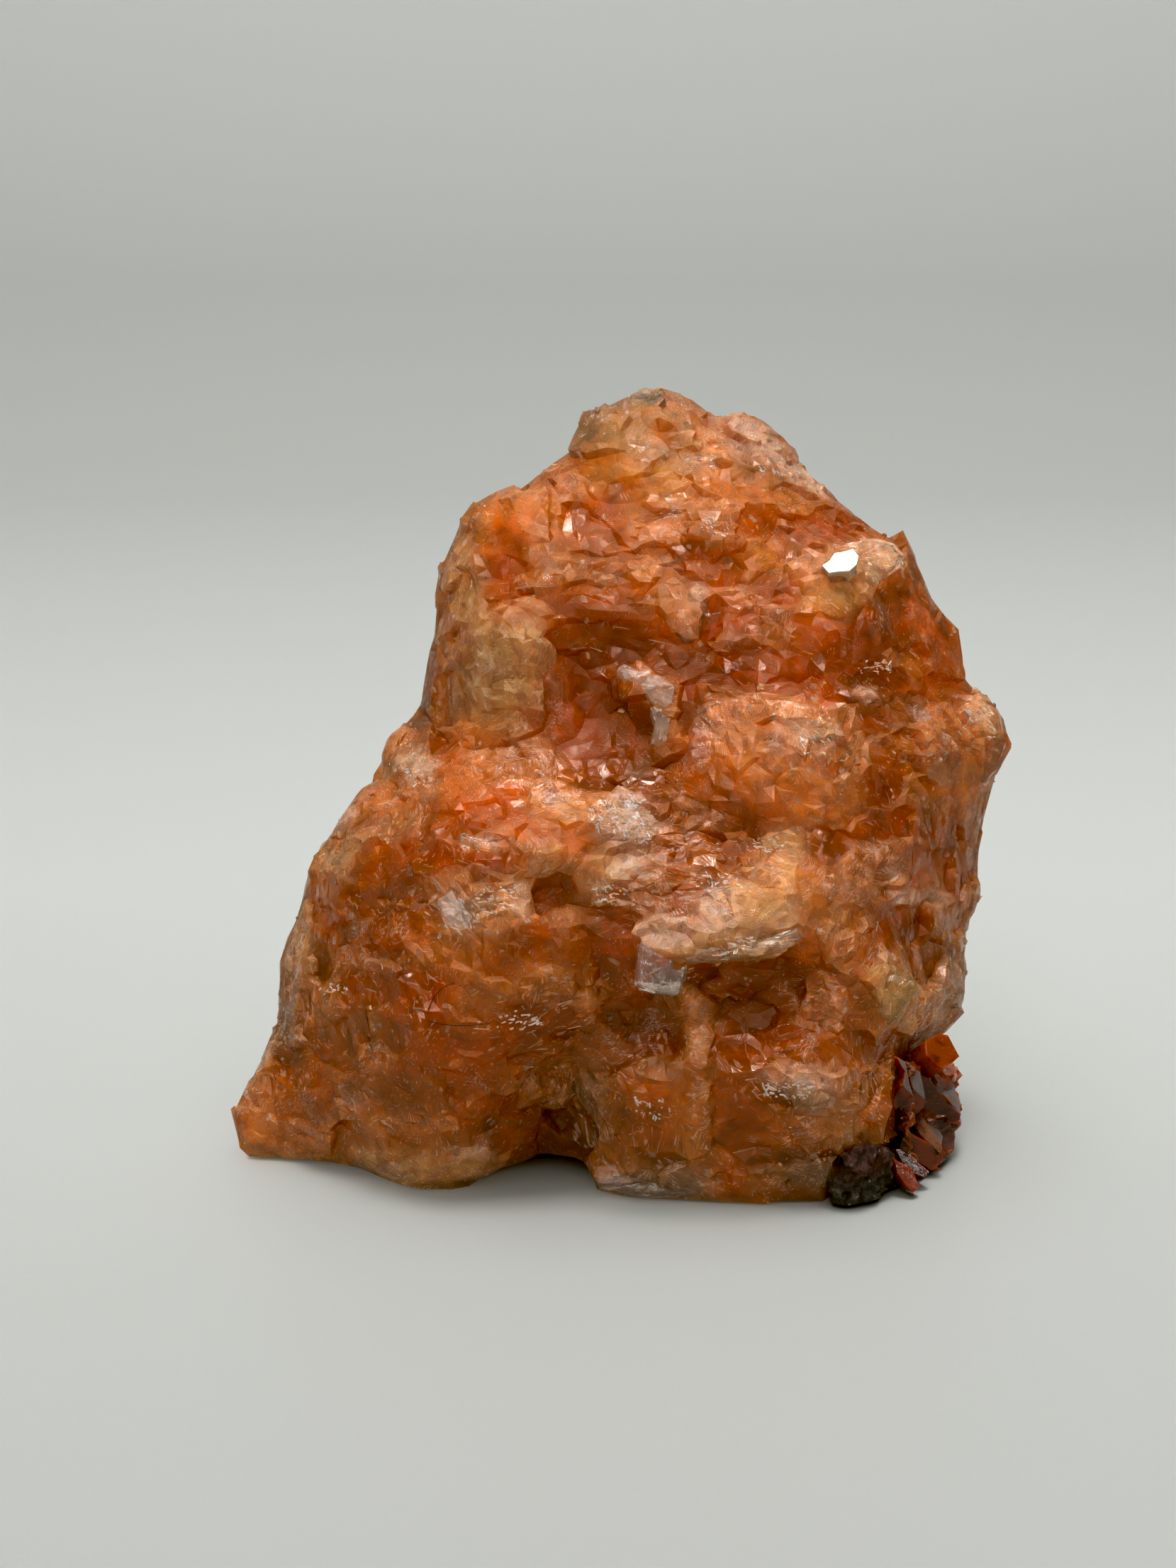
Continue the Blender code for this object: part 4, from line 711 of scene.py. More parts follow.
    # Painted highlight: thin raised edges are painted paler. Painted shade: hollows are painted deeper. Each small face
    # has a finish of its own.
    shade = 1 + 0.12 * fractal(p, 2.2, 91, 3)
    shade += 0.16 * (chances[1][0] - 0.5) + 0.14 * (chances[2][0] - 0.5) + 0.10 * (chances[0][1] - 0.5)
    proud = ((here - spread(here, edges, 3)) * base_n).sum(1)
    painted_edge_light = np.clip(proud / 0.030, 0, 1)[:, None]
    painted_hollow_shade = np.clip(-((here - spread(here, edges, 36)) * base_n).sum(1) / 0.35, 0, 1)[:, None]
    tint = tint * shade[:, None]
    tint *= 1 - painted_hollow_shade * np.array((0.22, 0.46, 0.55))
    tint += (0.5 * tint + 0.5 * np.array((0.95, 0.62, 0.40)) - tint) * painted_edge_light * 0.25
    # Painted sheen: faces turned upwards get more frost, as a pale sheen of the overhead light.
    painted_top_sheen = smoothstep(0.45, 0.92, crisp[:, 2])
    frost_and_sheen = finish[:, 0] * (0.35 + 0.9 * chances[1][1] + 0.5 * (chances[2][1] - 0.3)) + 0.22 * painted_top_sheen
    frost_and_sheen = np.where(chances[2][0] > 0.95, np.maximum(frost_and_sheen, 0.85), frost_and_sheen)
    frost_and_sheen = np.where((chances[1][0] > 0.95) & (finish[:, 0] > 0.06), np.maximum(frost_and_sheen, 0.75), frost_and_sheen)
    clearer = chances[1][1] < 0.12
    frost_and_sheen = np.where(clearer, frost_and_sheen * 0.2, frost_and_sheen)
    finish[:, 0] = np.clip(frost_and_sheen, 0, 1)
    finish[:, 1] = np.clip(finish[:, 1] + 0.16 * (chances[2][1] - 0.5) - 0.08 * clearer, 0.07, 0.8)
    tint *= np.where(clearer, 0.86, 1.0)[:, None]
    paleness = smoothstep(0.20, 0.62, tint[:, 1] / np.maximum(tint[:, 0], 0.01))
    heart_tint = np.clip(tint * (np.array(HEART_GAIN[0]) + np.outer(paleness, np.array(HEART_GAIN[1]) - HEART_GAIN[0])), 0, 1)
    tint *= np.array(BODY_GAIN[0]) + np.outer(paleness, np.array(BODY_GAIN[1]) - BODY_GAIN[0])
    set_value(mesh, "paleness", paleness)
    set_colour(mesh, "tint", np.clip(tint, 0.0, 1.0))
    set_colour(mesh, "finish", finish[:, :3], np.clip(finish[:, 3], 0, 1))
    set_vector(mesh, "fibre", fibre)
    set_value(mesh, "clear", np.clip(finish[:, 4] * (1.15 - 0.5 * chances[1][1]), 0, 1))
    return mesh, here, crisp, finish, fibre, heart_tint


def build_heart(skin, skin_tint):
    """What is seen through the clear skin of the lump: denser colour a millimetre or two inside it."""
    mesh = voxel_copy("polyhalite_mass", 0.0007)
    edges = edges_of(mesh)
    for _ in range(8):
        co, no = arrays_of(mesh)
        n = unit(spread(unit(no), edges, 2))
        deep = 0.10 + 0.90 * smoothstep(0.0001, 0.0024, co[:, 2])
        co = relax(co - n * 0.00015 * deep[:, None], edges, 1)
        co[:, 2] = np.maximum(co[:, 2], 0.00004)
        mesh.vertices.foreach_set("co", co.astype(np.float32).ravel())
        mesh.update()
    co, no = arrays_of(mesh)
    p, n = co * 1000, unit(no)
    code = cells(p + 0.5 * np.stack([value_noise(p, 1.6, s) for s in (3, 4, 5)], 1), 2.4, 141)[0]
    lift = spread((random_of(code, 7) - 0.5) * 0.9, edges, 1) + 0.25 * value_noise(p, 1.1, 143)
    here = p + n * (lift * smoothstep(0.5, 5.0, p[:, 2]))[:, None]
    here[:, 2] = np.maximum(here[:, 2], 0.04)
    write_places(mesh, here)
    tree = KDTree(len(skin) // 4 + 1)
    for i in range(0, len(skin), 4):
        tree.insert(skin[i], i)
    tree.balance()
    found = np.array([tree.find(c)[1] for c in p])
    colour = spread(skin_tint[found], edges, 2) * (0.90 + 0.25 * random_of(code, 9))[:, None]
    set_colour(mesh, "tint", np.clip(colour, 0, 1))
    return mesh


BODY_GAIN = ((0.80, 0.60, 0.06), (0.98, 0.78, 0.60))
HEART_GAIN = ((0.92, 0.90, 0.12), (1.00, 0.96, 0.78))


def set_colour(mesh, name, rgb, alpha=None):
    layer = mesh.color_attributes.new(name, "FLOAT_COLOR", "POINT")
    data = np.ones((len(mesh.vertices), 4), np.float32)
    data[:, :3] = rgb
    if alpha is not None:
        data[:, 3] = alpha
    layer.data.foreach_set("color", data.ravel())


def set_vector(mesh, name, vectors):
    layer = mesh.attributes.new(name, "FLOAT_VECTOR", "POINT")
    layer.data.foreach_set("vector", vectors.astype(np.float32).ravel())


def set_value(mesh, name, values):
    layer = mesh.attributes.new(name, "FLOAT", "POINT")
    layer.data.foreach_set("value", values.astype(np.float32).ravel())


# ------------------------------------------------------------------ crystals placed one by one
# name, outline on the elevation, mm in front of the lump, mm thick, face turned right, face turned up, width of the worn edge in mm, finish, direction of its cleavage lines
CRYSTALS = [
    ("sylvite_block", [(901, 1334), (936, 1325), (975, 1322), (970, 1352), (966, 1378), (958, 1403), (928, 1400), (898, 1389), (899, 1360)], 1.1, 2.6, 4, 2, 0.22, "block", 86),
    ("block_end", [(899, 1385), (930, 1391), (963, 1386), (958, 1403), (928, 1401), (898, 1392)], 1.25, 0.8, 4, -10, 0.12, "block", 4),
    ("tooth_crystal", [(953, 862), (968, 843), (990, 835), (997, 856), (990, 884), (978, 905), (965, 909), (954, 893)], 0.5, 2.0, 6, 6, 0.30, "clear", 70),
    ("hanging_tooth", [(1220, 1390), (1228, 1376), (1256, 1372), (1290, 1382), (1298, 1396), (1280, 1414), (1268, 1432), (1256, 1446), (1240, 1428), (1228, 1410)], 0.5, 2.0, 10, 2, 0.25, "golden", 60),
    ("hook_a", [(872, 946), (880, 940), (900, 946), (916, 944), (920, 956), (908, 972), (896, 964), (880, 958)], 0.35, 1.2, -4, 16, 0.14, "frosted", 60),
    ("hook_b", [(903, 966), (914, 952), (932, 956), (953, 968), (950, 986), (938, 1000), (918, 990)], 0.45, 1.3, 6, 10, 0.14, "frosted", 30),
    ("hook_c", [(916, 1000), (930, 992), (947, 1004), (943, 1030), (932, 1056), (919, 1050), (923, 1024)], 0.40, 1.3, 8, 2, 0.14, "frosted", 86),
    ("lying_shard", [(648, 1178), (676, 1180), (704, 1188), (708, 1202), (686, 1200), (658, 1192)], 0.3, 0.9, -4, 24, 0.12, "clear", 12),
    ("left_lump", [(540, 1062), (552, 1036), (572, 1026), (584, 1040), (582, 1066), (566, 1090), (548, 1098), (538, 1084)], -0.15, 2.4, -24, 6, 0.30, "peachy", 70),
    ("pale_ledge", [(958, 1338), (985, 1322), (1020, 1318), (1060, 1326), (1100, 1322), (1126, 1308), (1132, 1322), (1100, 1340), (1060, 1350), (1020, 1356), (980, 1358), (962, 1352)], 0.45, 2.4, 0, 24, 0.25, "peachy", 4),
    ("crest_clear", [(886, 566), (898, 554), (918, 550), (934, 557), (930, 572), (910, 578), (892, 577)], 0.15, 1.6, 0, 24, 0.25, "clear", 10),
    ("crest_left", [(816, 596), (826, 580), (846, 576), (858, 590), (852, 616), (836, 630), (818, 624)], -0.15, 2.0, -14, 10, 0.25, "peachy", 70),
    ("crest_lines", [(965, 648), (985, 642), (1010, 650), (1016, 668), (998, 680), (974, 676)], 0.0, 1.4, 4, 14, 0.20, "clear", 8),
    ("flash_host", [(1128, 792), (1140, 776), (1166, 766), (1200, 764), (1232, 760), (1262, 768), (1276, 784), (1262, 806), (1236, 822), (1206, 826), (1170, 822), (1140, 812)], 0.0, 2.0, 6, 18, 0.3, "clear", 4),
    ("block_left", [(985, 1000), (1010, 988), (1050, 986), (1072, 996), (1080, 1030), (1078, 1070), (1060, 1100), (1020, 1110), (985, 1096), (970, 1060), (974, 1024)], -0.05, 2.6, -6, 8, 0.4, "peachy", 40),
    ("block_right", [(1086, 1006), (1116, 992), (1150, 996), (1172, 1012), (1180, 1050), (1176, 1096), (1190, 1130), (1160, 1150), (1120, 1152), (1092, 1120), (1084, 1070)], -0.05, 2.8, 4, 6, 0.4, "peachy", 66),
    ("right_knob", [(1290, 985), (1330, 975), (1372, 984), (1408, 1004), (1418, 1040), (1410, 1080), (1390, 1104), (1350, 1096), (1318, 1070), (1298, 1030)], -0.25, 3.0, 26, 12, 0.5, "peachy", 28),
    ("grey_plate", [(840, 1650), (870, 1640), (920, 1646), (960, 1650), (990, 1660), (986, 1684), (940, 1690), (890, 1684), (846, 1676)], 0.1, 2.0, -2, -4, 0.25, "smoky", 5),
    ("gold_rim", [(532, 1646), (560, 1636), (600, 1634), (650, 1630), (700, 1620), (716, 1632), (690, 1652), (640, 1666), (590, 1668), (552, 1662)], -0.1, 2.6, -2, -18, 0.4, "peachy", 4),
    ("fan_block", [(620, 1270), (640, 1256), (672, 1262), (690, 1284), (676, 1306), (648, 1310), (626, 1294)], 0.1, 1.4, -4, 14, 0.2, "frosted", 30),
    ("fan_block_b", [(706, 1250), (722, 1238), (744, 1246), (748, 1272), (740, 1296), (718, 1290), (706, 1272)], 0.1, 1.4, -2, 8, 0.2, "clear", 70),
]

# fields of fine fibres on the elevation: middle, half width, half height, direction, spread of the directions, how many, length in mm
FIBRES = [
    (850, 1150, 60, 30, 50, 30, 60, 1.3), (640, 1270, 60, 30, 20, 24, 55, 1.4), (700, 1215, 50, 20, 12, 14, 30, 1.6), (760, 1210, 40, 30, 110, 20, 40, 1.2),
    (580, 1240, 60, 24, 14, 16, 30, 1.3), (880, 1270, 50, 26, 14, 18, 45, 1.3), (1000, 1280, 44, 26, 48, 24, 50, 1.4), (1210, 1335, 40, 40, -45, 6, 60, 1.9),
    (1300, 1435, 34, 40, -55, 8, 50, 1.7), (985, 1450, 16, 50, 62, 14, 30, 1.2), (1238, 1200, 34, 18, 82, 6, 40, 0.9), (425, 1380, 26, 70, 84, 6, 60, 1.8),
    (1370, 1030, 50, 40, 28, 8, 60, 1.8), (560, 1390, 70, 30, 6, 12, 40, 1.6), (560, 1450, 60, 44, 55, 24, 40, 1.2), (780, 1440, 50, 34, -22, 12, 45, 1.5),
    (1110, 1530, 60, 20, 16, 14, 50, 1.3), (1100, 1230, 30, 60, 70, 24, 50, 1.2), (950, 1150, 60, 20, 12, 20, 35, 1.1), (1130, 1060, 60, 50, 62, 20, 45, 1.2),
    (600, 1215, 70, 30, 10, 14, 35, 1.6), (870, 905, 70, 20, 6, 8, 25, 1.8), (1160, 900, 50, 44, 24, 16, 30, 1.3), (1060, 880, 70, 40, 6, 16, 30, 1.2),
    (400, 1560, 50, 40, 10, 20, 30, 1.2), (1200, 1540, 50, 50, 50, 20, 50, 1.1), (1000, 1210, 70, 40, 40, 40, 60, 0.9), (700, 1490, 70, 60, 20, 30, 35, 1.3),
]

# tufts of pale feathery crystal, in the same terms
TUFTS = [
    (874, 1148, 44, 30, 52, 40, 110, 0.75), (905, 1176, 26, 14, 20, 40, 40, 0.5), (700, 1270, 34, 20, 22, 24, 36, 0.9), (650, 1292, 26, 24, 42, 24, 30, 0.9),
    (1236, 942, 26, 12, 10, 20, 24, 0.7), (1112, 1538, 40, 14, 20, 30, 34, 0.6), (470, 1396, 20, 9, 0, 20, 18, 0.5), (1150, 1040, 28, 34, 60, 30, 30, 0.8),
    (588, 1096, 24, 14, 10, 40, 26, 0.5), (1010, 1245, 34, 14, 6, 30, 34, 0.7), (860, 1262, 28, 14, 20, 30, 26, 0.6), (1060, 1330, 60, 8, 2, 14, 30, 0.7),
    (948, 722, 18, 10, 0, 30, 16, 0.5), (1012, 742, 22, 16, 30, 30, 20, 0.5), (1120, 660, 50, 14, 42, 26, 40, 0.5), (1380, 1020, 34, 26, 30, 12, 24, 0.8),
    (1250, 790, 26, 18, 20, 30, 26, 0.5), (1085, 1190, 26, 12, 14, 30, 26, 0.6), (730, 1440, 40, 14, -16, 20, 24, 0.7), (920, 1560, 26, 20, 70, 26, 24, 0.6),
]

CLEAR_FINISHES = {
    # base colour, absorption colour, absorption density per metre, transmission, roughness, frost, colour of the frost
    "clear": ((0.985, 0.93, 0.86), (0.98, 0.72, 0.48), 160.0, 0.92, 0.05, 0.35, (0.92, 0.80, 0.70)),
    "block": ((0.96, 0.86, 0.78), (0.98, 0.76, 0.58), 90.0, 0.78, 0.07, 0.70, (0.94, 0.82, 0.74)),
    "golden": ((0.97, 0.84, 0.58), (0.98, 0.66, 0.26), 200.0, 0.88, 0.06, 0.30, (0.94, 0.80, 0.62)),
    "peachy": ((0.95, 0.78, 0.58), (0.97, 0.50, 0.20), 240.0, 0.86, 0.08, 0.30, (0.88, 0.68, 0.54)),
    "frosted": ((0.93, 0.78, 0.68), (0.95, 0.60, 0.46), 160.0, 0.62, 0.10, 0.80, (0.90, 0.74, 0.66)),
    "smoky": ((0.80, 0.70, 0.60), (0.70, 0.52, 0.36), 300.0, 0.85, 0.12, 0.45, (0.60, 0.50, 0.44)),
    "mirror": ((0.90, 0.84, 0.84), (0.80, 0.60, 0.56), 400.0, 0.35, 0.04, 0.0, (0.9, 0.9, 0.9)),
}


def turned(normal, right_deg, up_deg):
    """A facing turned to the right and upwards by so many degrees."""
    right, up = basis(normal)
    return unit(normal + right * math.tan(math.radians(right_deg)) + up * math.tan(math.radians(up_deg)))


def cut_crystal(row, tree, rng):
    """A broken crystal: a face with worn edges on an outline drawn on the elevation, and sides that run back into the lump."""
    name, outline, forward, thick, right_deg, up_deg, worn, finish, lines = row
    outline = np.array(outline, float)
    hits = []
    for u, v in list(outline) + [outline.mean(0)]:
        hit = tree.ray_cast(Vector(EYE), Vector(sight(u, v)))
        if hit[0] is not None:
            hits.append(np.array(hit[0]))
    depth = np.median([(h - EYE) @ FORWARD for h in hits]) - forward / 1000
    middle = outline.mean(0)
    d = sight(*middle)
    origin = EYE + d * depth / (d @ FORWARD)
    facing = unit(turned(-d, right_deg * 0.6, up_deg * 0.6))
    def on_plane(u, v, back):
        ray = sight(u, v)
        t = ((origin - facing * back / 1000 - EYE) @ facing) / (ray @ facing)
        return EYE + ray * t
    # More corners, a little ragged.
    ring = []
    for i in range(len(outline)):
        a, b = outline[i], outline[(i + 1) % len(outline)]
        ring.append(a)
        ring.append((a + b) / 2 + rng.normal(0, 1.1, 2))
    ring = np.array(ring)
    size = np.abs(ring - middle).max() * UNIT_MM
    worn *= 0.55
    inset = max(0.6, 1 - worn / size)
    layers = []
    for scale, back in ((inset, 0.0), (1.0, worn * 0.75), (1.01, thick * 0.5), (0.9, thick)):
        layer = []
        for q in ring:
            u, v = middle + (q - middle) * scale
            base = on_plane(u, v, 0.0)
            layer.append(base + d * back / 1000)
        layers.append(layer)
    bm = bmesh.new()
    made = [[bm.verts.new(c) for c in layer] for layer in layers]
    count = len(ring)
    for a, b in zip(made, made[1:]):
        for i in range(count):
            j = (i + 1) % count
            bm.faces.new((a[i], a[j], b[j], b[i]))
    front = bm.verts.new(np.mean(layers[0], axis=0) + facing * 0.00006)
    rear = bm.verts.new(np.mean(layers[-1], axis=0))
    for i in range(count):
        j = (i + 1) % count
        bm.faces.new((made[0][j], made[0][i], front))
        bm.faces.new((made[-1][i], made[-1][j], rear))
    bmesh.ops.recalc_face_normals(bm, faces=bm.faces)
    bmesh.ops.subdivide_edges(bm, edges=bm.edges[:], cuts=2, use_grid_fill=True)
    bmesh.ops.triangulate(bm, faces=[f for f in bm.faces if len(f.verts) > 4])
    bm.normal_update()
    co = np.array([v.co for v in bm.verts])
    no = np.array([v.normal for v in bm.verts])
    p = co * 1000
    code = cells(p, 0.9, 311)[0]
    lift = flattened(p, unit(no), code, 0.5, 0.22, 0.05, 311, 0.14) + 0.02 * value_noise(p, 0.4, 6)
    angle = math.radians(lines)
    across = math.sin(angle) * np.array((1.0, 0, 0)) + math.cos(angle) * UPWARD
    wave = (p @ across) / 0.42 + 0.4 * value_noise(p, 1.5, 8)
    lift += 0.03 * ((wave - np.floor(wave)) - 0.5)
    co = co + no * (lift / 1000)[:, None]
    co[:, 2] = np.maximum(co[:, 2], 0.0001)
    for v, c in zip(bm.verts, co):
        v.co = c
    mesh = bpy.data.meshes.new(name)
    bm.to_mesh(mesh)
    bm.free()
    mesh.validate()
    along = math.cos(angle) * np.array((1.0, 0, 0)) - math.sin(angle) * UPWARD
    set_vector(mesh, "fibre", np.tile(along, (len(mesh.vertices), 1)))
    return mesh


def splinters(name, spots, rng):
    """Small angular splinters of crystal. Each spot has a place and a normal in metres, a direction, and three half sizes in mm along that direction, across it and along the normal."""
    verts, faces = [], []
    for place, normal, direction, (a, b, c) in spots:
        x = unit(direction - normal * (direction @ normal))
        y = np.cross(normal, x)
        start = len(verts)
        k = rng.uniform(0.6, 1.0, 16)
        ring = [(-1, -1), (1, -1), (1, 1), (-1, 1)]
        for end in (-1, 1):
            for i, (sy, sz) in enumerate(ring):
                q = place + (x * end * a * (0.55 + 0.4 * k[i + (4 if end > 0 else 0)]) + y * sy * b * k[8 + i] + normal * sz * c * k[12 + i]) / 1000
                verts.append(q)
        for end in (-1, 1):
            tip = rng.uniform(-0.5, 0.5, 2)
            verts.append(place + (x * end * a * 1.12 + y * b * tip[0] + normal * c * tip[1]) / 1000)
        for i in range(4):
            j = (i + 1) % 4
            faces.append((start + i, start + 4 + i, start + 4 + j, start + j))
            faces.append((start + i, start + j, start + 8))
            faces.append((start + 4 + j, start + 4 + i, start + 9))
    verts = np.array(verts)
    verts[:, 2] = np.maximum(verts[:, 2], 0.00006)
    mesh = bpy.data.meshes.new(name)
    mesh.from_pydata(verts.tolist(), [], faces)
    bm = bmesh.new()
    bm.from_mesh(mesh)
    bmesh.ops.recalc_face_normals(bm, faces=bm.faces)
    bm.to_mesh(mesh)
    bm.free()
    return mesh


def scatter_spots(mesh, finish, count, seed, low, high, flat, sink, want):
    """Random places on the lump, more of them where want is high."""
    rng = np.random.default_rng(seed)
    co, no = arrays_of(mesh)
    no = unit(no)
    chance = want.copy()
    chance[co[:, 2] < 0.0008] = 0
    chance /= chance.sum()
    picked = rng.choice(len(co), count, replace=False, p=chance)
    spots = []
    for i in picked:
        size = rng.uniform(low, high) * rng.uniform(0.6, 1.0)
        normal = unit(no[i] + rng.normal(0, 0.28, 3))
        direction = rng.normal(0, 1, 3)
        half = (size * rng.uniform(0.8, 1.3), size * rng.uniform(0.5, 0.9), size * flat * rng.uniform(0.7, 1.3))
        spots.append((co[i] - no[i] * half[2] * sink / 1000, normal, direction, half))
    return spots


def fibre_spots(tree, seed, rows, share, wide=1.0):
    rng = np.random.default_rng(seed)
    spots = []
    for u, v, a, b, angle, splay, count, length in rows:
        for _ in range(int(count * share)):
            r, t = math.sqrt(rng.uniform()), rng.uniform(0, 2 * math.pi)
            hit = tree.ray_cast(Vector(EYE), Vector(sight(u + a * r * math.cos(t), v + b * r * math.sin(t))))
            if hit[0] is None:
                continue
            place, normal = np.array(hit[0]), np.array(hit[1])
            turn = math.radians(angle + rng.normal(0, splay))
            direction = math.cos(turn) * np.array((1.0, 0, 0)) - math.sin(turn) * UPWARD
            half = (length * 0.5 * rng.uniform(0.2, 0.9) * rng.uniform(0.5, 1.0), wide * rng.uniform(0.018, 0.048), wide * rng.uniform(0.018, 0.040))
            normal = unit(normal + rng.normal(0, 0.12, 3))
            spots.append((place + normal * 0.00001, normal, direction, half))
    return spots
# ------------------------------------------------------------------ materials
class Nodes:
    """Short-hand for building a node material."""

    def __init__(self, name):
        self.material = bpy.data.materials.new(name)
        self.material.use_nodes = True
        self.tree = self.material.node_tree
        self.shader = self.tree.nodes["Principled BSDF"]
        self.out = self.tree.nodes["Material Output"]

    def node(self, kind, **settings):
        made = self.tree.nodes.new(kind)
        for key, value in settings.items():
            setattr(made, key, value)
        return made

    def link(self, a, b):
        self.tree.links.new(a, b)

    def put(self, socket, value):
        if isinstance(value, bpy.types.NodeSocket):
            self.link(value, socket)
        else:
            socket.default_value = value

    def math(self, operation, a, b=0.0, c=None, clamp=False):
        made = self.node("ShaderNodeMath", operation=operation, use_clamp=clamp)
        self.put(made.inputs[0], a)
        self.put(made.inputs[1], b)
        if c is not None:
            self.put(made.inputs[2], c)
        return made.outputs[0]

    def vmath(self, operation, a, b=None, scale=None):
        made = self.node("ShaderNodeVectorMath", operation=operation)
        self.put(made.inputs[0], a)
        if b is not None:
            self.put(made.inputs[1], b)
        if scale is not None:
            self.put(made.inputs["Scale"], scale)
        return made.outputs["Value"] if operation in ("DOT_PRODUCT", "LENGTH", "DISTANCE") else made.outputs[0]

    def mix(self, share, a, b, blend="MIX"):
        made = self.node("ShaderNodeMix", data_type="RGBA", blend_type=blend)
        self.put(made.inputs["Factor"], share)
        self.put(made.inputs[6], a)
        self.put(made.inputs[7], b)
        return made.outputs[2]

    def noise(self, coords, scale, detail=3.0, rough=0.55, distortion=0.0):
        made = self.node("ShaderNodeTexNoise")
        self.put(made.inputs["Vector"], coords)
        made.inputs["Scale"].default_value = scale
        made.inputs["Detail"].default_value = detail
        made.inputs["Roughness"].default_value = rough
        made.inputs["Distortion"].default_value = distortion
        return made.outputs["Fac"]

    def voronoi(self, coords, scale, feature="F1", randomness=1.0):
        made = self.node("ShaderNodeTexVoronoi", feature=feature)
        self.put(made.inputs["Vector"], coords)
        made.inputs["Scale"].default_value = scale
        made.inputs["Randomness"].default_value = randomness
        return made

    def ramp(self, value, low, high, a=0.0, b=1.0):
        made = self.node("ShaderNodeMapRange", interpolation_type="SMOOTHSTEP")
        self.put(made.inputs["Value"], value)
        made.inputs["From Min"].default_value = low
        made.inputs["From Max"].default_value = high
        made.inputs["To Min"].default_value = a
        made.inputs["To Max"].default_value = b
        return made.outputs["Result"]

    def attribute(self, name):
        return self.node("ShaderNodeAttribute", attribute_name=name)

    def parts(self, colour):
        made = self.node("ShaderNodeSeparateColor")
        self.link(colour, made.inputs[0])
        return made.outputs

    def facets(self, coords, scale, depth):
        """Height of flat faces that lean at random, one to a cell."""
        cell = self.voronoi(coords, scale)
        towards = self.vmath("SUBTRACT", coords, cell.outputs["Position"])
        lean = self.vmath("SUBTRACT", cell.outputs["Color"], (0.5, 0.5, 0.5))
        return self.math("MULTIPLY", self.vmath("DOT_PRODUCT", towards, lean), depth)


def millimetres(n):
    coords = n.node("ShaderNodeTexCoord").outputs["Object"]
    return n.vmath("SCALE", coords, scale=1000.0)


CLEARNESS = 1.1


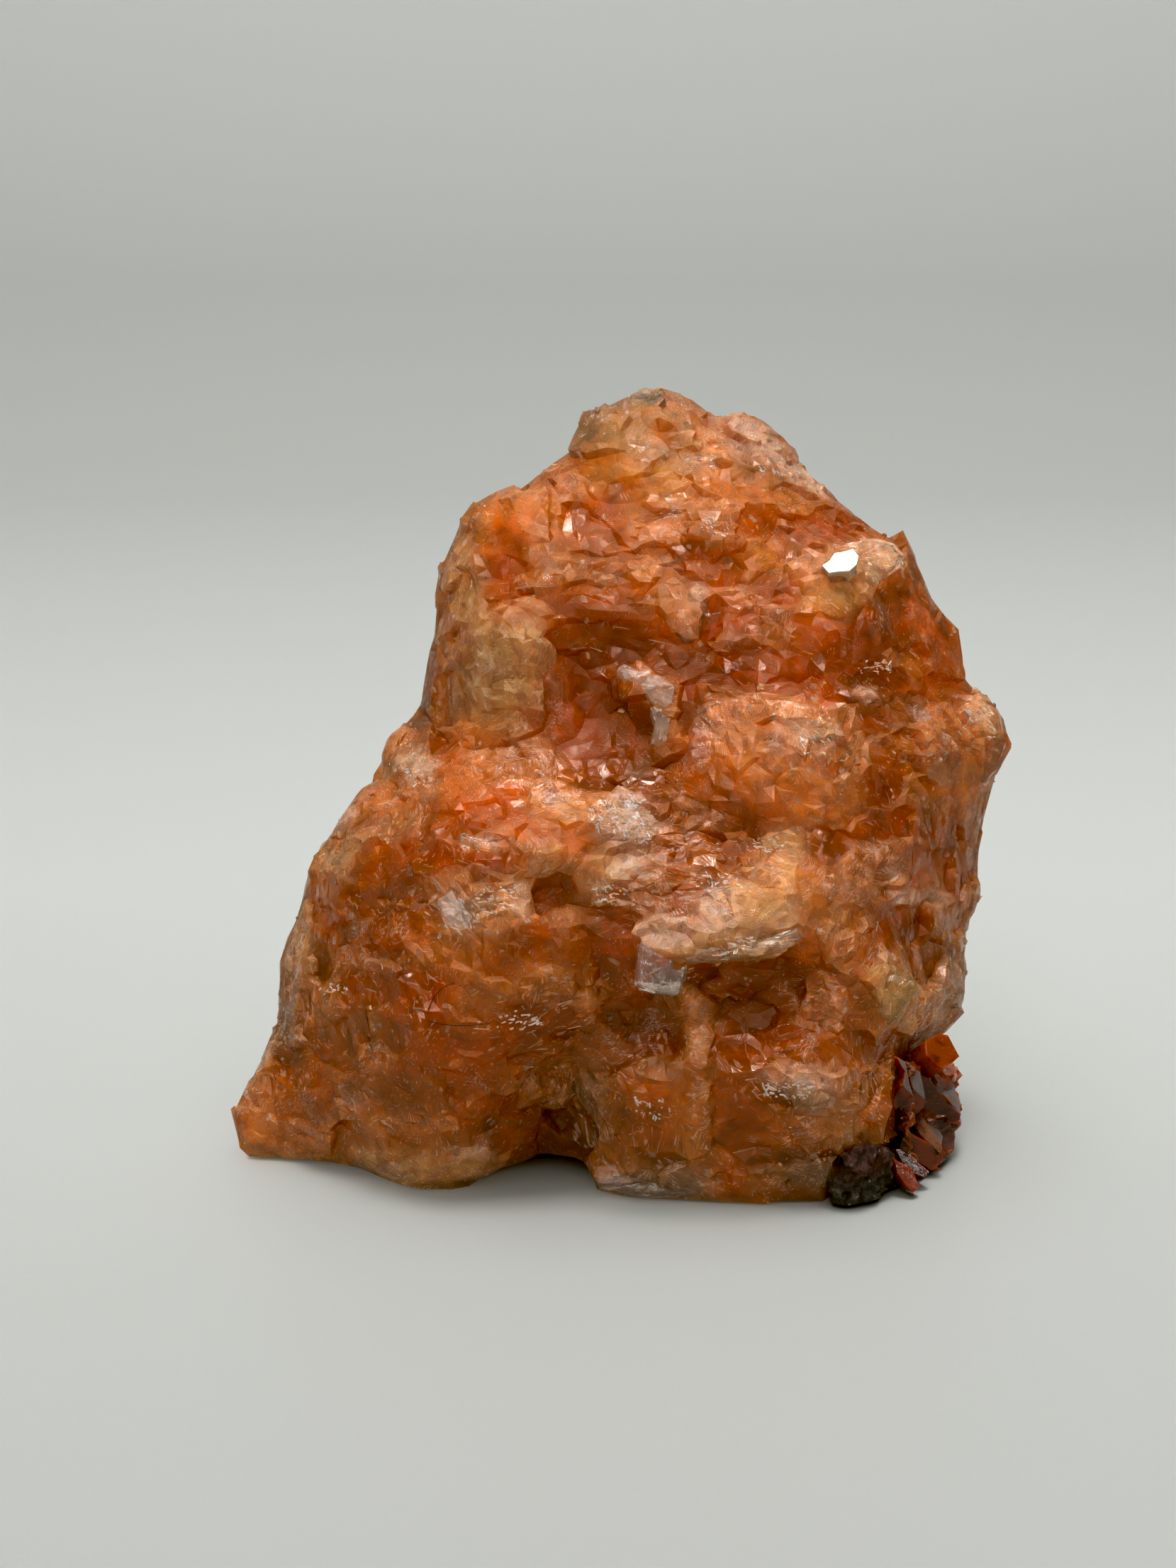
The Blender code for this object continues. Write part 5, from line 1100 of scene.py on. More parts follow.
def mass_material():
    n = Nodes("polyhalite_mass")
    mm = millimetres(n)
    tint = n.attribute("tint").outputs["Color"]
    finish_node = n.attribute("finish")
    frost_and_sheen, rough, streak = n.parts(finish_node.outputs["Color"])[:3]
    glint_share = finish_node.outputs["Alpha"]
    clear = n.attribute("clear").outputs["Fac"]
    fibre = n.attribute("fibre").outputs["Vector"]

    # Coordinates drawn out along the fibres.
    along = n.vmath("DOT_PRODUCT", mm, fibre)
    drawn = n.vmath("ADD", mm, n.vmath("SCALE", fibre, scale=n.math("MULTIPLY", along, -0.88)))

    fine = n.noise(drawn, 3.4, 3.0, 0.62)
    finer = n.noise(drawn, 8.0, 1.0, 0.6)
    cloud = n.noise(mm, 0.55, 2.0, 0.6)
    grain = n.noise(mm, 5.0, 2.0, 0.65)

    # Body colour: deeper and paler clouds, then streaks along the fibres.
    deeper = n.mix(1.0, tint, (0.70, 0.46, 0.36, 1.0), "MULTIPLY")
    body = n.mix(n.ramp(cloud, 0.46, 0.70, 0.0, 0.65), tint, deeper)
    paler = n.mix(0.45, tint, (0.90, 0.56, 0.34, 1.0))
    veil = n.math("MULTIPLY", n.ramp(fine, 0.53, 0.66), n.math("MULTIPLY", streak, 0.55))
    body = n.mix(veil, body, paler)

    # Each small cleavage face has a tone of its own.
    face = n.parts(n.voronoi(mm, 2.0).outputs["Color"])
    sliver = n.parts(n.voronoi(drawn, 4.2).outputs["Color"])
    tone = n.math("ADD", n.ramp(face[1], 0.0, 1.0, 0.80, 1.20), n.ramp(sliver[1], 0.0, 1.0, -0.14, 0.14))
    body = n.mix(1.0, body, tone, "MULTIPLY")

    # Frost on broken faces, feathered along the fibres; it also carries the painted pale sheen that the pale frost
    # marks and the upward faces add.
    frost_spread = n.math("ADD", n.math("MULTIPLY", fine, 0.55), n.math("ADD", n.math("MULTIPLY", grain, 0.2), n.math("MULTIPLY", finer, 0.25)))
    threshold = n.math("SUBTRACT", 0.66, n.math("MULTIPLY", frost_and_sheen, 0.20))
    frost = n.math("MULTIPLY", n.math("DIVIDE", n.math("SUBTRACT", frost_spread, threshold), 0.09, clamp=True), n.math("MULTIPLY", frost_and_sheen, 1.25), clamp=True)
    iced = n.math("MULTIPLY", n.math("GREATER_THAN", sliver[2], n.math("SUBTRACT", 0.97, n.math("MULTIPLY", frost_and_sheen, 0.30))), n.ramp(fine, 0.36, 0.50))
    frost = n.math("MAXIMUM", frost, n.math("MULTIPLY", iced, 0.7))
    body = n.mix(n.math("MULTIPLY", frost, 0.75), body, (0.82, 0.60, 0.50, 1.0))

    # Small bright specks: painted glints, with lower roughness.
    flakes = n.voronoi(drawn, 3.0)
    chance = n.parts(flakes.outputs["Color"])[0]
    lit = n.math("GREATER_THAN", chance, n.math("SUBTRACT", 1.0, n.math("MULTIPLY", glint_share, 0.030)))
    painted_glint = n.math("MULTIPLY", lit, n.ramp(flakes.outputs["Distance"], 0.30, 0.18))
    body = n.mix(n.math("MULTIPLY", painted_glint, 0.8), body, (0.92, 0.80, 0.72, 1.0))
    s = n.shader.inputs
    open_part = n.math("MULTIPLY", n.math("MULTIPLY", clear, CLEARNESS), n.math("SUBTRACT", 1.0, n.math("MAXIMUM", frost, n.math("MAXIMUM", painted_glint, n.math("MULTIPLY", veil, 0.6)))), clamp=True)
    n.link(open_part, s["Transmission Weight"])
    # The clear skin hardly colours what is seen through it.
    see = n.mix(n.attribute("paleness").outputs["Fac"], (1.0, 0.62, 0.18, 1.0), (1.0, 0.78, 0.54, 1.0))
    n.link(n.mix(n.math("MULTIPLY", open_part, 0.45), body, see), s["Base Color"])
    s["Subsurface Weight"].default_value = 0.4
    s["Subsurface Radius"].default_value = (1.0, 0.32, 0.10)
    s["Subsurface Scale"].default_value = 0.0026
    s["IOR"].default_value = 1.54
    s["Specular IOR Level"].default_value = 0.52
    s["Specular Tint"].default_value = (1.0, 0.86, 0.78, 1.0)
    wear = n.math("ADD", n.math("MULTIPLY", rough, 0.32), n.math("MULTIPLY", n.math("SUBTRACT", finer, 0.5), 0.20))
    wear = n.math("ADD", wear, n.math("MULTIPLY", frost, 0.20))
    wear = n.math("ADD", wear, n.math("MULTIPLY", n.math("SUBTRACT", face[2], 0.6), 0.22))
    n.link(n.math("MAXIMUM", n.math("SUBTRACT", wear, n.math("MULTIPLY", painted_glint, 0.25)), 0.06), s["Roughness"])

    # Relief: fibres and small leaning cleavage faces.
    rugged = n.ramp(frost_and_sheen, 0.05, 0.45, 0.25, 1.0)
    height = n.math("MULTIPLY", n.facets(drawn, 4.2, 0.14), rugged)
    height = n.math("ADD", height, n.facets(mm, 1.1, 0.34))
    height = n.math("ADD", height, n.math("MULTIPLY", fine, n.math("MULTIPLY", streak, 0.10)))
    bump = n.node("ShaderNodeBump")
    bump.inputs["Strength"].default_value = 0.45
    bump.inputs["Distance"].default_value = 0.001
    n.link(height, bump.inputs["Height"])
    n.link(bump.outputs["Normal"], s["Normal"])
    return n.material


def heart_material():
    n = Nodes("polyhalite_heart")
    mm = millimetres(n)
    tint = n.attribute("tint").outputs["Color"]
    body = n.mix(n.ramp(n.noise(mm, 0.8, 2.0, 0.6), 0.46, 0.66), tint, n.mix(1.0, tint, (0.78, 0.56, 0.44, 1.0), "MULTIPLY"))
    body = n.mix(n.ramp(n.noise(mm, 0.9, 2.0, 0.5), 0.50, 0.70, 0.0, 0.5), body, n.mix(0.35, tint, (1.0, 0.66, 0.34, 1.0)))
    n.link(body, n.shader.inputs["Base Color"])
    s = n.shader.inputs
    s["Roughness"].default_value = 0.6
    s["Specular IOR Level"].default_value = 0.1
    bump = n.node("ShaderNodeBump")
    bump.inputs["Strength"].default_value = 1.0
    bump.inputs["Distance"].default_value = 0.001
    n.link(n.facets(mm, 1.0, 0.3), bump.inputs["Height"])
    n.link(bump.outputs["Normal"], s["Normal"])
    return n.material


def clear_material(finish):
    base, absorbed, density, through, rough, frosting, pale = CLEAR_FINISHES[finish]
    n = Nodes("sylvite_" + finish)
    mm = millimetres(n)
    fibre = n.attribute("fibre").outputs["Vector"]
    along = n.vmath("DOT_PRODUCT", mm, fibre)
    drawn = n.vmath("ADD", mm, n.vmath("SCALE", fibre, scale=n.math("MULTIPLY", along, -0.9)))
    lines = n.noise(drawn, 5.0, 4.0, 0.6)
    grain = n.noise(mm, 2.4, 5.0, 0.65)
    patch = n.noise(mm, 0.8, 3.0, 0.55)
    frost = n.math("MULTIPLY", n.ramp(n.math("ADD", n.math("MULTIPLY", lines, 0.5), n.math("MULTIPLY", grain, 0.5)), 0.48, 0.66), n.ramp(patch, 0.40, 0.62))
    frost = n.math("MULTIPLY", frost, frosting, clamp=True)
    n.link(n.mix(frost, (*base, 1), (*pale, 1)), n.shader.inputs["Base Color"])
    s = n.shader.inputs
    s["IOR"].default_value = 1.49
    n.link(n.math("SUBTRACT", through, n.math("MULTIPLY", frost, through)), s["Transmission Weight"])
    n.link(n.math("ADD", rough, n.math("MULTIPLY", n.math("ADD", frost, n.math("MULTIPLY", n.math("SUBTRACT", grain, 0.4), 0.3)), 0.35), clamp=True), s["Roughness"])
    height = n.math("ADD", n.facets(drawn, 2.2, 0.10), n.math("MULTIPLY", lines, 0.05))
    height = n.math("ADD", height, n.math("MULTIPLY", grain, 0.03))
    if finish == "mirror":
        height = n.math("MULTIPLY", grain, 0.01)
    bump = n.node("ShaderNodeBump")
    bump.inputs["Strength"].default_value = 0.7
    bump.inputs["Distance"].default_value = 0.001
    n.link(height, bump.inputs["Height"])
    n.link(bump.outputs["Normal"], s["Normal"])
    volume = n.node("ShaderNodeVolumeAbsorption")
    volume.inputs["Color"].default_value = (*absorbed, 1)
    volume.inputs["Density"].default_value = density
    n.link(volume.outputs[0], n.out.inputs["Volume"])
    return n.material


# ------------------------------------------------------------------ blades and host rock
# outline on the elevation, depth of its middle in mm (negative is nearer), face turned to the right and up in degrees,
# thickness in mm, how grey and glassy its face is (the grey is a painted reflection), colour
BLADES = [
    ([(1306, 1468), (1326, 1458), (1338, 1460), (1354, 1490), (1345, 1498), (1331, 1507), (1320, 1500), (1307, 1488)], -0.4, 34, 34, 2.6, 0.0, "orange"),
    ([(1331, 1506), (1346, 1499), (1351, 1519), (1347, 1527), (1339, 1524), (1329, 1512)], -0.2, 20, 10, 2.0, 0.0, "peach"),
    ([(1280, 1488), (1300, 1482), (1318, 1494), (1322, 1512), (1308, 1520), (1290, 1508)], -0.6, 20, 20, 2.4, 0.0, "brown"),
    ([(1310, 1519), (1322, 1509), (1331, 1515), (1346, 1528), (1352, 1549), (1356, 1571), (1347, 1566), (1337, 1558), (1324, 1538)], -1.1, 40, 46, 0.9, 1.0, "mirror"),
    ([(1299, 1516), (1311, 1521), (1325, 1540), (1337, 1558), (1356, 1572), (1354, 1581), (1340, 1585), (1329, 1594), (1316, 1592), (1306, 1582), (1301, 1564), (1304, 1544)], -0.9, 18, -22, 2.2, 0.1, "deep"),
    ([(1279, 1497), (1290, 1505), (1298, 1512), (1303, 1533), (1306, 1553), (1297, 1545), (1288, 1535), (1283, 1517)], -2.6, 46, 18, 0.55, 1.0, "mirror"),
    ([(1288, 1536), (1297, 1545), (1306, 1553), (1303, 1563), (1292, 1573), (1284, 1571), (1286, 1552)], -2.3, 10, -22, 1.4, 0.0, "lit"),
    ([(1265, 1490), (1277, 1497), (1283, 1529), (1289, 1549), (1281, 1542), (1274, 1531), (1277, 1511)], -3.5, 46, 18, 0.5, 0.9, "mirror"),
    ([(1257, 1556), (1272, 1531), (1281, 1542), (1289, 1549), (1284, 1571), (1272, 1560), (1262, 1566)], -3.2, 4, -16, 1.6, 0.0, "brown"),
    ([(1262, 1496), (1272, 1506), (1277, 1528), (1268, 1540), (1258, 1552), (1259, 1520)], -3.0, -10, 0, 1.6, 0.0, "dark"),
    ([(1256, 1580), (1266, 1566), (1273, 1561), (1286, 1576), (1276, 1592), (1260, 1588)], -1.2, 6, -10, 1.6, 0.0, "black"),
    ([(1281, 1570), (1292, 1572), (1303, 1576), (1318, 1598), (1330, 1618), (1328, 1626), (1312, 1612), (1296, 1596)], -2.6, 30, 42, 0.5, 0.45, "clear"),
    ([(1296, 1574), (1310, 1584), (1326, 1595), (1331, 1603), (1328, 1624), (1317, 1615), (1308, 1599)], -1.9, 40, 40, 0.9, 1.0, "mirror"),
    ([(1330, 1590), (1340, 1586), (1347, 1606), (1347, 1620), (1344, 1627), (1331, 1632), (1329, 1611)], -0.9, 34, 10, 1.6, 0.6, "pink"),
    ([(1279, 1593), (1296, 1606), (1312, 1613), (1331, 1629), (1330, 1637), (1321, 1648), (1314, 1652), (1296, 1641), (1281, 1620), (1277, 1606)], -3.6, 14, -14, 1.8, 0.1, "lit"),
    ([(1256, 1592), (1270, 1595), (1278, 1610), (1277, 1619), (1267, 1621), (1258, 1616)], -3.9, 6, 6, 1.4, 0.2, "olive"),
    ([(1260, 1633), (1276, 1642), (1289, 1652), (1298, 1674), (1288, 1683), (1278, 1671), (1265, 1654)], -4.6, 16, 16, 1.0, 0.2, "lit"),
    ([(1262, 1620), (1280, 1622), (1298, 1642), (1312, 1653), (1306, 1662), (1290, 1656), (1272, 1640)], -3.3, 20, 20, 1.2, 0.0, "dark"),
    ([(1299, 1655), (1324, 1641), (1337, 1649), (1331, 1665), (1318, 1675), (1300, 1675), (1292, 1664)], -3.2, 24, 6, 2.0, 0.3, "grey"),
    ([(1262, 1660), (1276, 1672), (1290, 1684), (1284, 1694), (1268, 1690), (1258, 1676)], -4.0, 8, 4, 1.2, 0.1, "grey"),
]
# mirror paints the grey-pink reflection of glassy blade faces; lit paints the lighter tone of blade faces that catch
# the light.
BLADE_TINTS = {
    "orange": (0.42, 0.11, 0.025), "peach": (0.60, 0.26, 0.12), "brown": (0.20, 0.050, 0.024), "deep": (0.13, 0.022, 0.010), "lit": (0.30, 0.070, 0.030),
    "dark": (0.085, 0.014, 0.006), "black": (0.03, 0.006, 0.004), "mirror": (0.32, 0.26, 0.26), "clear": (0.36, 0.17, 0.11), "pink": (0.36, 0.19, 0.17),
    "olive": (0.22, 0.09, 0.04), "grey": (0.16, 0.09, 0.075),
}


def crystal_plate(tree, outline, depth, right_deg, up_deg, thick, rng, bevel=0.07):
    """Corners, ring by ring from the face back, of a flat crystal whose face has its outline on the elevation; the
    smaller its depth, the nearer it is.
    """
    outline = np.array(outline, float)
    middle = outline.mean(0)
    ray = sight(*middle)
    hit = tree.ray_cast(Vector(EYE), Vector(ray))[0]
    origin = np.array(hit) if hit is not None else EYE + ray * ((-0.006 - EYE[1]) / ray[1])
    origin = origin + ray * (0.35 * (depth + 2.4) - 0.45) / 1000
    facing = unit(turned(-FORWARD, right_deg, up_deg))
    ring = []
    for i in range(len(outline)):
        a, b = outline[i], outline[(i + 1) % len(outline)]
        ring.append(a)
        if np.linalg.norm(b - a) > 14:
            ring.append((a + b) / 2 + rng.normal(0, 0.5, 2))
    ring = np.array(ring)
    size = np.abs(ring - middle).max() * UNIT_MM
    layers = []
    for scale, back in ((max(0.8, 1 - bevel / size), 0.0), (1.0, bevel * 0.7), (1.0, thick * 0.6), (0.92, thick)):
        layer = []
        for q in ring:
            u, v = middle + (q - middle) * scale
            s = sight(u, v)
            t = ((origin - EYE) @ facing) / (s @ facing)
            flat_point = EYE + s * t
            # Far corners of steep faces are kept from running off.
            offset = flat_point - origin
            reach = np.linalg.norm(offset)
            if reach > 0.004:
                flat_point = origin + offset * 0.004 / reach
            layer.append(flat_point - facing * back / 1000)
        layers.append(layer)
    return layers


def plates_mesh(name, rows, rng):
    tree = bvh_of(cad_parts["bladed_crystals"].data)
    verts, faces, tints, gloss = [], [], [], []
    for outline, depth, right_deg, up_deg, thick, grey, colour in rows:
        layers = crystal_plate(tree, outline, depth, right_deg, up_deg, thick, rng)
        count = len(layers[0])
        start = len(verts)
        for k, layer in enumerate(layers):
            for q in layer:
                verts.append((q[0], q[1], max(q[2], 0.00010)))
                # Painted light: sides of mirror-faced blades take the lit tone, the bevel ring is painted brighter as a
                # highlight and the rings behind it darker as shade; gloss carries the share of painted grey reflection.
                side = np.array(BLADE_TINTS["lit"] if colour == "mirror" else BLADE_TINTS[colour])
                tints.append(np.array(BLADE_TINTS[colour]) if k == 0 else side * (1.25 if k == 1 else 0.8))
                gloss.append(grey if k == 0 else 0.1)
        faces.append(tuple(start + i for i in range(count)))
        for k in range(3):
            for i in range(count):
                j = (i + 1) % count
                faces.append((start + k * count + i, start + (k + 1) * count + i, start + (k + 1) * count + j, start + k * count + j))
        faces.append(tuple(start + 3 * count + i for i in reversed(range(count))))
    mesh = bpy.data.meshes.new(name)
    mesh.from_pydata([tuple(v) for v in verts], [], faces)
    set_colour(mesh, "tint", np.array(tints), np.array(gloss))
    bm = bmesh.new()
    bm.from_mesh(mesh)
    bmesh.ops.recalc_face_normals(bm, faces=bm.faces)
    bmesh.ops.triangulate(bm, faces=bm.faces)
    bm.to_mesh(mesh)
    bm.free()
    return mesh


def blade_root():
    """The grown-together root of the blades, broken into small steps."""
    mesh = voxel_copy("bladed_crystals", 0.00030)
    co, no = arrays_of(mesh)
    p, n = co * 1000, unit(no)
    edges = edges_of(mesh)
    n = unit(spread(n, edges, 3))
    code = cells(p + 0.2 * np.stack([value_noise(p, 0.8, s) for s in (3, 4, 5)], 1), 1.5, 151)[0]
    height = flattened(p, n, code, 0.8, 0.35, 0.14, 151, 0.4) - 0.25
    code_b = cells(p, 0.7, 161)[0]
    height += flattened(p, n, code_b, 0.3, 0.3, 0.04, 161, 0.1)
    here = p + n * height[:, None]
    here[:, 2] = np.maximum(here[:, 2], 0.02)
    crisp = write_places(mesh, here)
    tint = np.tile(np.array(BLADE_TINTS["deep"]), (len(p), 1))
    warm = smoothstep(0.35, 0.8, random_of(code, 5))[:, None]
    tint = tint * (1 - warm) + np.array(BLADE_TINTS["brown"]) * 1.3 * warm
    # Painted highlight: raised edges are painted towards orange.
    painted_edge_light = np.clip(((here - spread(here, edges, 3)) * n).sum(1) / 0.03, 0, 1)[:, None]
    tint = tint + (np.array(BLADE_TINTS["orange"]) - tint) * painted_edge_light * 0.5
    # One face in five gets the grey of a painted reflection.
    set_colour(mesh, "tint", tint, np.where(random_of(code, 6) > 0.8, 0.8, 0.1))
    return mesh


def blade_material():
    n = Nodes("bladed_crystals")
    mm = millimetres(n)
    source = n.attribute("tint")
    tint, grey = source.outputs["Color"], source.outputs["Alpha"]
    slanted = n.vmath("ADD", mm, n.vmath("SCALE", n.vmath("MULTIPLY", mm, (0.6, 0.2, -0.75)), scale=-0.7))
    lines = n.noise(slanted, 5.0, 3.0, 0.6)
    cloud = n.noise(mm, 0.9, 4.0, 0.6)
    dark = n.math("MULTIPLY", n.ramp(cloud, 0.45, 0.66), n.math("SUBTRACT", 0.85, n.math("MULTIPLY", grey, 0.6)))
    body = n.mix(dark, tint, n.mix(1.0, tint, (0.36, 0.25, 0.22, 1.0), "MULTIPLY"))
    veil = n.math("MULTIPLY", n.ramp(lines, 0.58, 0.72), 0.35)
    body = n.mix(veil, body, n.mix(0.5, tint, (0.62, 0.30, 0.18, 1.0)))
    n.link(body, n.shader.inputs["Base Color"])
    s = n.shader.inputs
    s["Subsurface Weight"].default_value = 0.8
    s["Subsurface Radius"].default_value = (1.0, 0.26, 0.12)
    s["Subsurface Scale"].default_value = 0.0016
    s["IOR"].default_value = 1.56
    s["Specular IOR Level"].default_value = 0.6
    n.link(n.math("ADD", 0.09, n.math("MULTIPLY", n.ramp(lines, 0.5, 0.7), 0.22)), s["Roughness"])
    bump = n.node("ShaderNodeBump")
    bump.inputs["Strength"].default_value = 0.35
    bump.inputs["Distance"].default_value = 0.0005
    n.link(n.math("ADD", n.math("MULTIPLY", lines, 0.2), n.math("MULTIPLY", n.noise(mm, 6.0, 3.0), 0.06)), bump.inputs["Height"])
    n.link(bump.outputs["Normal"], s["Normal"])
    return n.material


def rock_mesh():
    """Fine-grained host rock with a lumpy skin."""
    mesh = voxel_copy("dark_matrix", 0.00016)
    co, no = arrays_of(mesh)
    p, n = co * 1000, unit(no)
    edges = edges_of(mesh)
    n = unit(spread(n, edges, 6))
    here = p.copy()
    for size, lean, lift, salt, cap in ((1.3, 0.35, 0.20, 171, 0.5), (0.6, 0.4, 0.10, 181, 0.25), (0.32, 0.4, 0.04, 191, 0.1)):
        code = cells(p + 0.12 * size * np.stack([value_noise(p, size * 0.6, salt + s) for s in (3, 4, 5)], 1), size, salt)[0]
        here = here + n * flattened(here, n, code, 0.6, lean, lift, salt, cap)[:, None]
    here += n * (0.20 + 0.05 * value_noise(p, 0.35, 7))[:, None]
    here[:, 2] = np.maximum(here[:, 2], 0.02)
    write_places(mesh, here)
    lower = smoothstep(2.2, 1.0, p[:, 2])
    crust = smoothstep(0.2, 0.6, fractal(p, 1.0, 201, 3)) * smoothstep(1.4, 0.5, p[:, 2])
    red = smoothstep(0.15, 0.6, fractal(p, 1.2, 203, 3)) * smoothstep(1.2, 2.6, p[:, 2])
    tint = np.zeros((len(p), 3)) + np.array((0.105, 0.052, 0.050))
    tint += (np.array((0.050, 0.052, 0.046)) - tint) * lower[:, None]
    tint += (np.array((0.16, 0.035, 0.012)) - tint) * (0.8 * red)[:, None]
    tint += (np.array((0.34, 0.28, 0.23)) - tint) * (0.8 * crust)[:, None]
    set_colour(mesh, "tint", tint)
    return mesh


def rock_material():
    n = Nodes("dark_matrix")
    mm = millimetres(n)
    tint = n.attribute("tint").outputs["Color"]
    cloud = n.noise(mm, 2.2, 5.0, 0.65)
    body = n.mix(n.ramp(cloud, 0.42, 0.62), n.mix(1.0, tint, (0.5, 0.45, 0.5, 1.0), "MULTIPLY"), n.mix(1.0, tint, (1.8, 1.7, 1.7, 1.0), "MULTIPLY"))
    chips = n.voronoi(mm, 3.2)
    lit = n.math("GREATER_THAN", n.parts(chips.outputs["Color"])[0], 0.90)
    speck = n.math("MULTIPLY", lit, n.ramp(chips.outputs["Distance"], 0.42, 0.22))
    body = n.mix(n.math("MULTIPLY", speck, 0.75), body, (0.42, 0.36, 0.33, 1.0))
    n.link(body, n.shader.inputs["Base Color"])
    s = n.shader.inputs
    s["IOR"].default_value = 1.5
    s["Specular IOR Level"].default_value = 0.5
    n.link(n.math("SUBTRACT", n.ramp(n.noise(mm, 5.0, 3.0), 0.3, 0.7, 0.25, 0.7), n.math("MULTIPLY", speck, 0.2)), s["Roughness"])
    bump = n.node("ShaderNodeBump")
    bump.inputs["Strength"].default_value = 0.9
    bump.inputs["Distance"].default_value = 0.0005
    height = n.math("ADD", n.facets(mm, 3.2, 0.5), n.math("MULTIPLY", n.noise(mm, 7.0, 4.0, 0.65), 0.25))
    n.link(height, bump.inputs["Height"])
    n.link(bump.outputs["Normal"], s["Normal"])
    return n.material


# ------------------------------------------------------------------ light, floor, camera
def lamp(name, place, aim, size, power, colour=(1, 1, 1), size_y=None):
    data = bpy.data.lights.new(name, "AREA")
    data.energy = power
    data.color = colour
    data.shape = "RECTANGLE"
    data.size = size
    data.size_y = size_y or size
    thing = bpy.data.objects.new(name, data)
    thing.location = place
    thing.rotation_euler = (Vector(aim) - Vector(place)).to_track_quat("-Z", "Y").to_euler()
    bpy.context.scene.collection.objects.link(thing)
    return thing


OVERHEAD = (0.03, 0.00, 0.42)
PANELS = [("panel_front", (-0.06, -0.55, 0.50), 0.10, 0.75), ("panel_left", (-0.50, -0.32, 0.30), 0.08, 0.55), ("panel_right", (0.48, -0.30, 0.34), 0.08, 0.55), ("panel_low", (-0.16, -0.60, 0.14), 0.06, 0.32)]
# how pale the sheet is, from its front edge to its upper edge, by mm along it; the steps paint light and shade along
# the floor and up the backdrop
SHEET_STEPS = [(-100, 0.56), (600, 0.79), (-55, 0.59), (60, 0.70), (220, 0.68), (302, 0.665), (366, 0.655), (446, 0.635), (519, 0.71)]


def studio():
    scene = bpy.context.scene
    world = bpy.data.worlds.new("soft_room")
    scene.world = world
    world.use_nodes = True
    world.node_tree.nodes["Background"].inputs["Color"].default_value = (0.97, 1.0, 0.97, 1)
    world.node_tree.nodes["Background"].inputs["Strength"].default_value = 0.06
    lamp("ceiling", (0.0, 0.05, 1.00), (0, 0.10, 0), 1.20, 7.9)
    lamp("overhead", OVERHEAD, (0, 0, 0.02), 0.10, 0.62)
    lamp("front", (-0.10, -0.75, 0.75), (0, 0, 0.02), 0.50, 1.7)
    # Panels that only show in gloss.
    for name, place, size, power in PANELS:
        lamp(name, place, (0, 0, 0.022), size, power, (1.0, 0.95, 0.94)).visible_diffuse = False

    n = Nodes("pale_sheet")
    mm = millimetres(n)
    apart = n.node("ShaderNodeSeparateXYZ")
    n.link(mm, apart.inputs[0])
    far = n.math("ADD", apart.outputs[1], apart.outputs[2])
    # Painted light and shade along the sheet, from SHEET_STEPS.
    steps = n.node("ShaderNodeValToRGB")
    n.link(n.math("DIVIDE", n.math("ADD", far, 100.0), 700.0, clamp=True), steps.inputs[0])
    for k, (place, grey) in enumerate(SHEET_STEPS):
        stop = steps.color_ramp.elements[k] if k < 2 else steps.color_ramp.elements.new((place + 100) / 700)
        stop.position = (place + 100) / 700
        stop.color = (grey, grey * 1.018, grey * 0.985, 1)
    n.link(steps.outputs[0], n.shader.inputs["Base Color"])
    n.shader.inputs["Roughness"].default_value = 0.42
    n.shader.inputs["Specular IOR Level"].default_value = 0.15
    bump = n.node("ShaderNodeBump")
    bump.inputs["Strength"].default_value = 0.25
    bump.inputs["Distance"].default_value = 0.00005
    n.link(n.noise(mm, 3.0, 3.0), bump.inputs["Height"])
    n.link(bump.outputs["Normal"], n.shader.inputs["Normal"])

    profile = [(-2.5, -0.0003), (0.30, -0.0003)]
    for k in range(1, 13):
        t = k / 12 * math.pi / 2
        profile.append((0.30 + 0.25 * math.sin(t), -0.0003 + 0.25 * (1 - math.cos(t))))
    profile.append((0.55, 1.2))
    verts, faces = [], []
    for y, z in profile:
        verts += [(-2.0, y, z), (2.0, y, z)]
    for i in range(len(profile) - 1):
        faces.append((2 * i, 2 * i + 1, 2 * i + 3, 2 * i + 2))
    sheet = bpy.data.meshes.new("pale_sheet")
    sheet.from_pydata(verts, [], faces)
    sheet.materials.append(n.material)
    sheet.shade_smooth()
    floor = bpy.data.objects.new("pale_sheet", sheet)
    scene.collection.objects.link(floor)

    data = bpy.data.cameras.new("view")
    data.sensor_fit = "AUTO"
    data.sensor_width = 36.0
    data.lens = FOCAL * 36.0 / 2212
    data.clip_start = 0.005
    data.clip_end = 10
    data.dof.use_dof = False
    camera = bpy.data.objects.new("view", data)
    camera.location = EYE
    camera.rotation_euler = (math.pi / 2 - PITCH, 0, 0)
    scene.collection.objects.link(camera)
    scene.camera = camera
    scene.cycles.max_bounces = 3
    scene.cycles.diffuse_bounces = 1
    scene.cycles.glossy_bounces = 1
    scene.cycles.transmission_bounces = 3
    scene.cycles.caustics_reflective = False
    scene.view_settings.view_transform = "Standard"
    scene.view_settings.gamma = 0.80
    scene.view_settings.use_curve_mapping = True
    curves = scene.view_settings.curve_mapping
    curves.black_level = (0.010, 0.015, 0.026)
    curves.update()


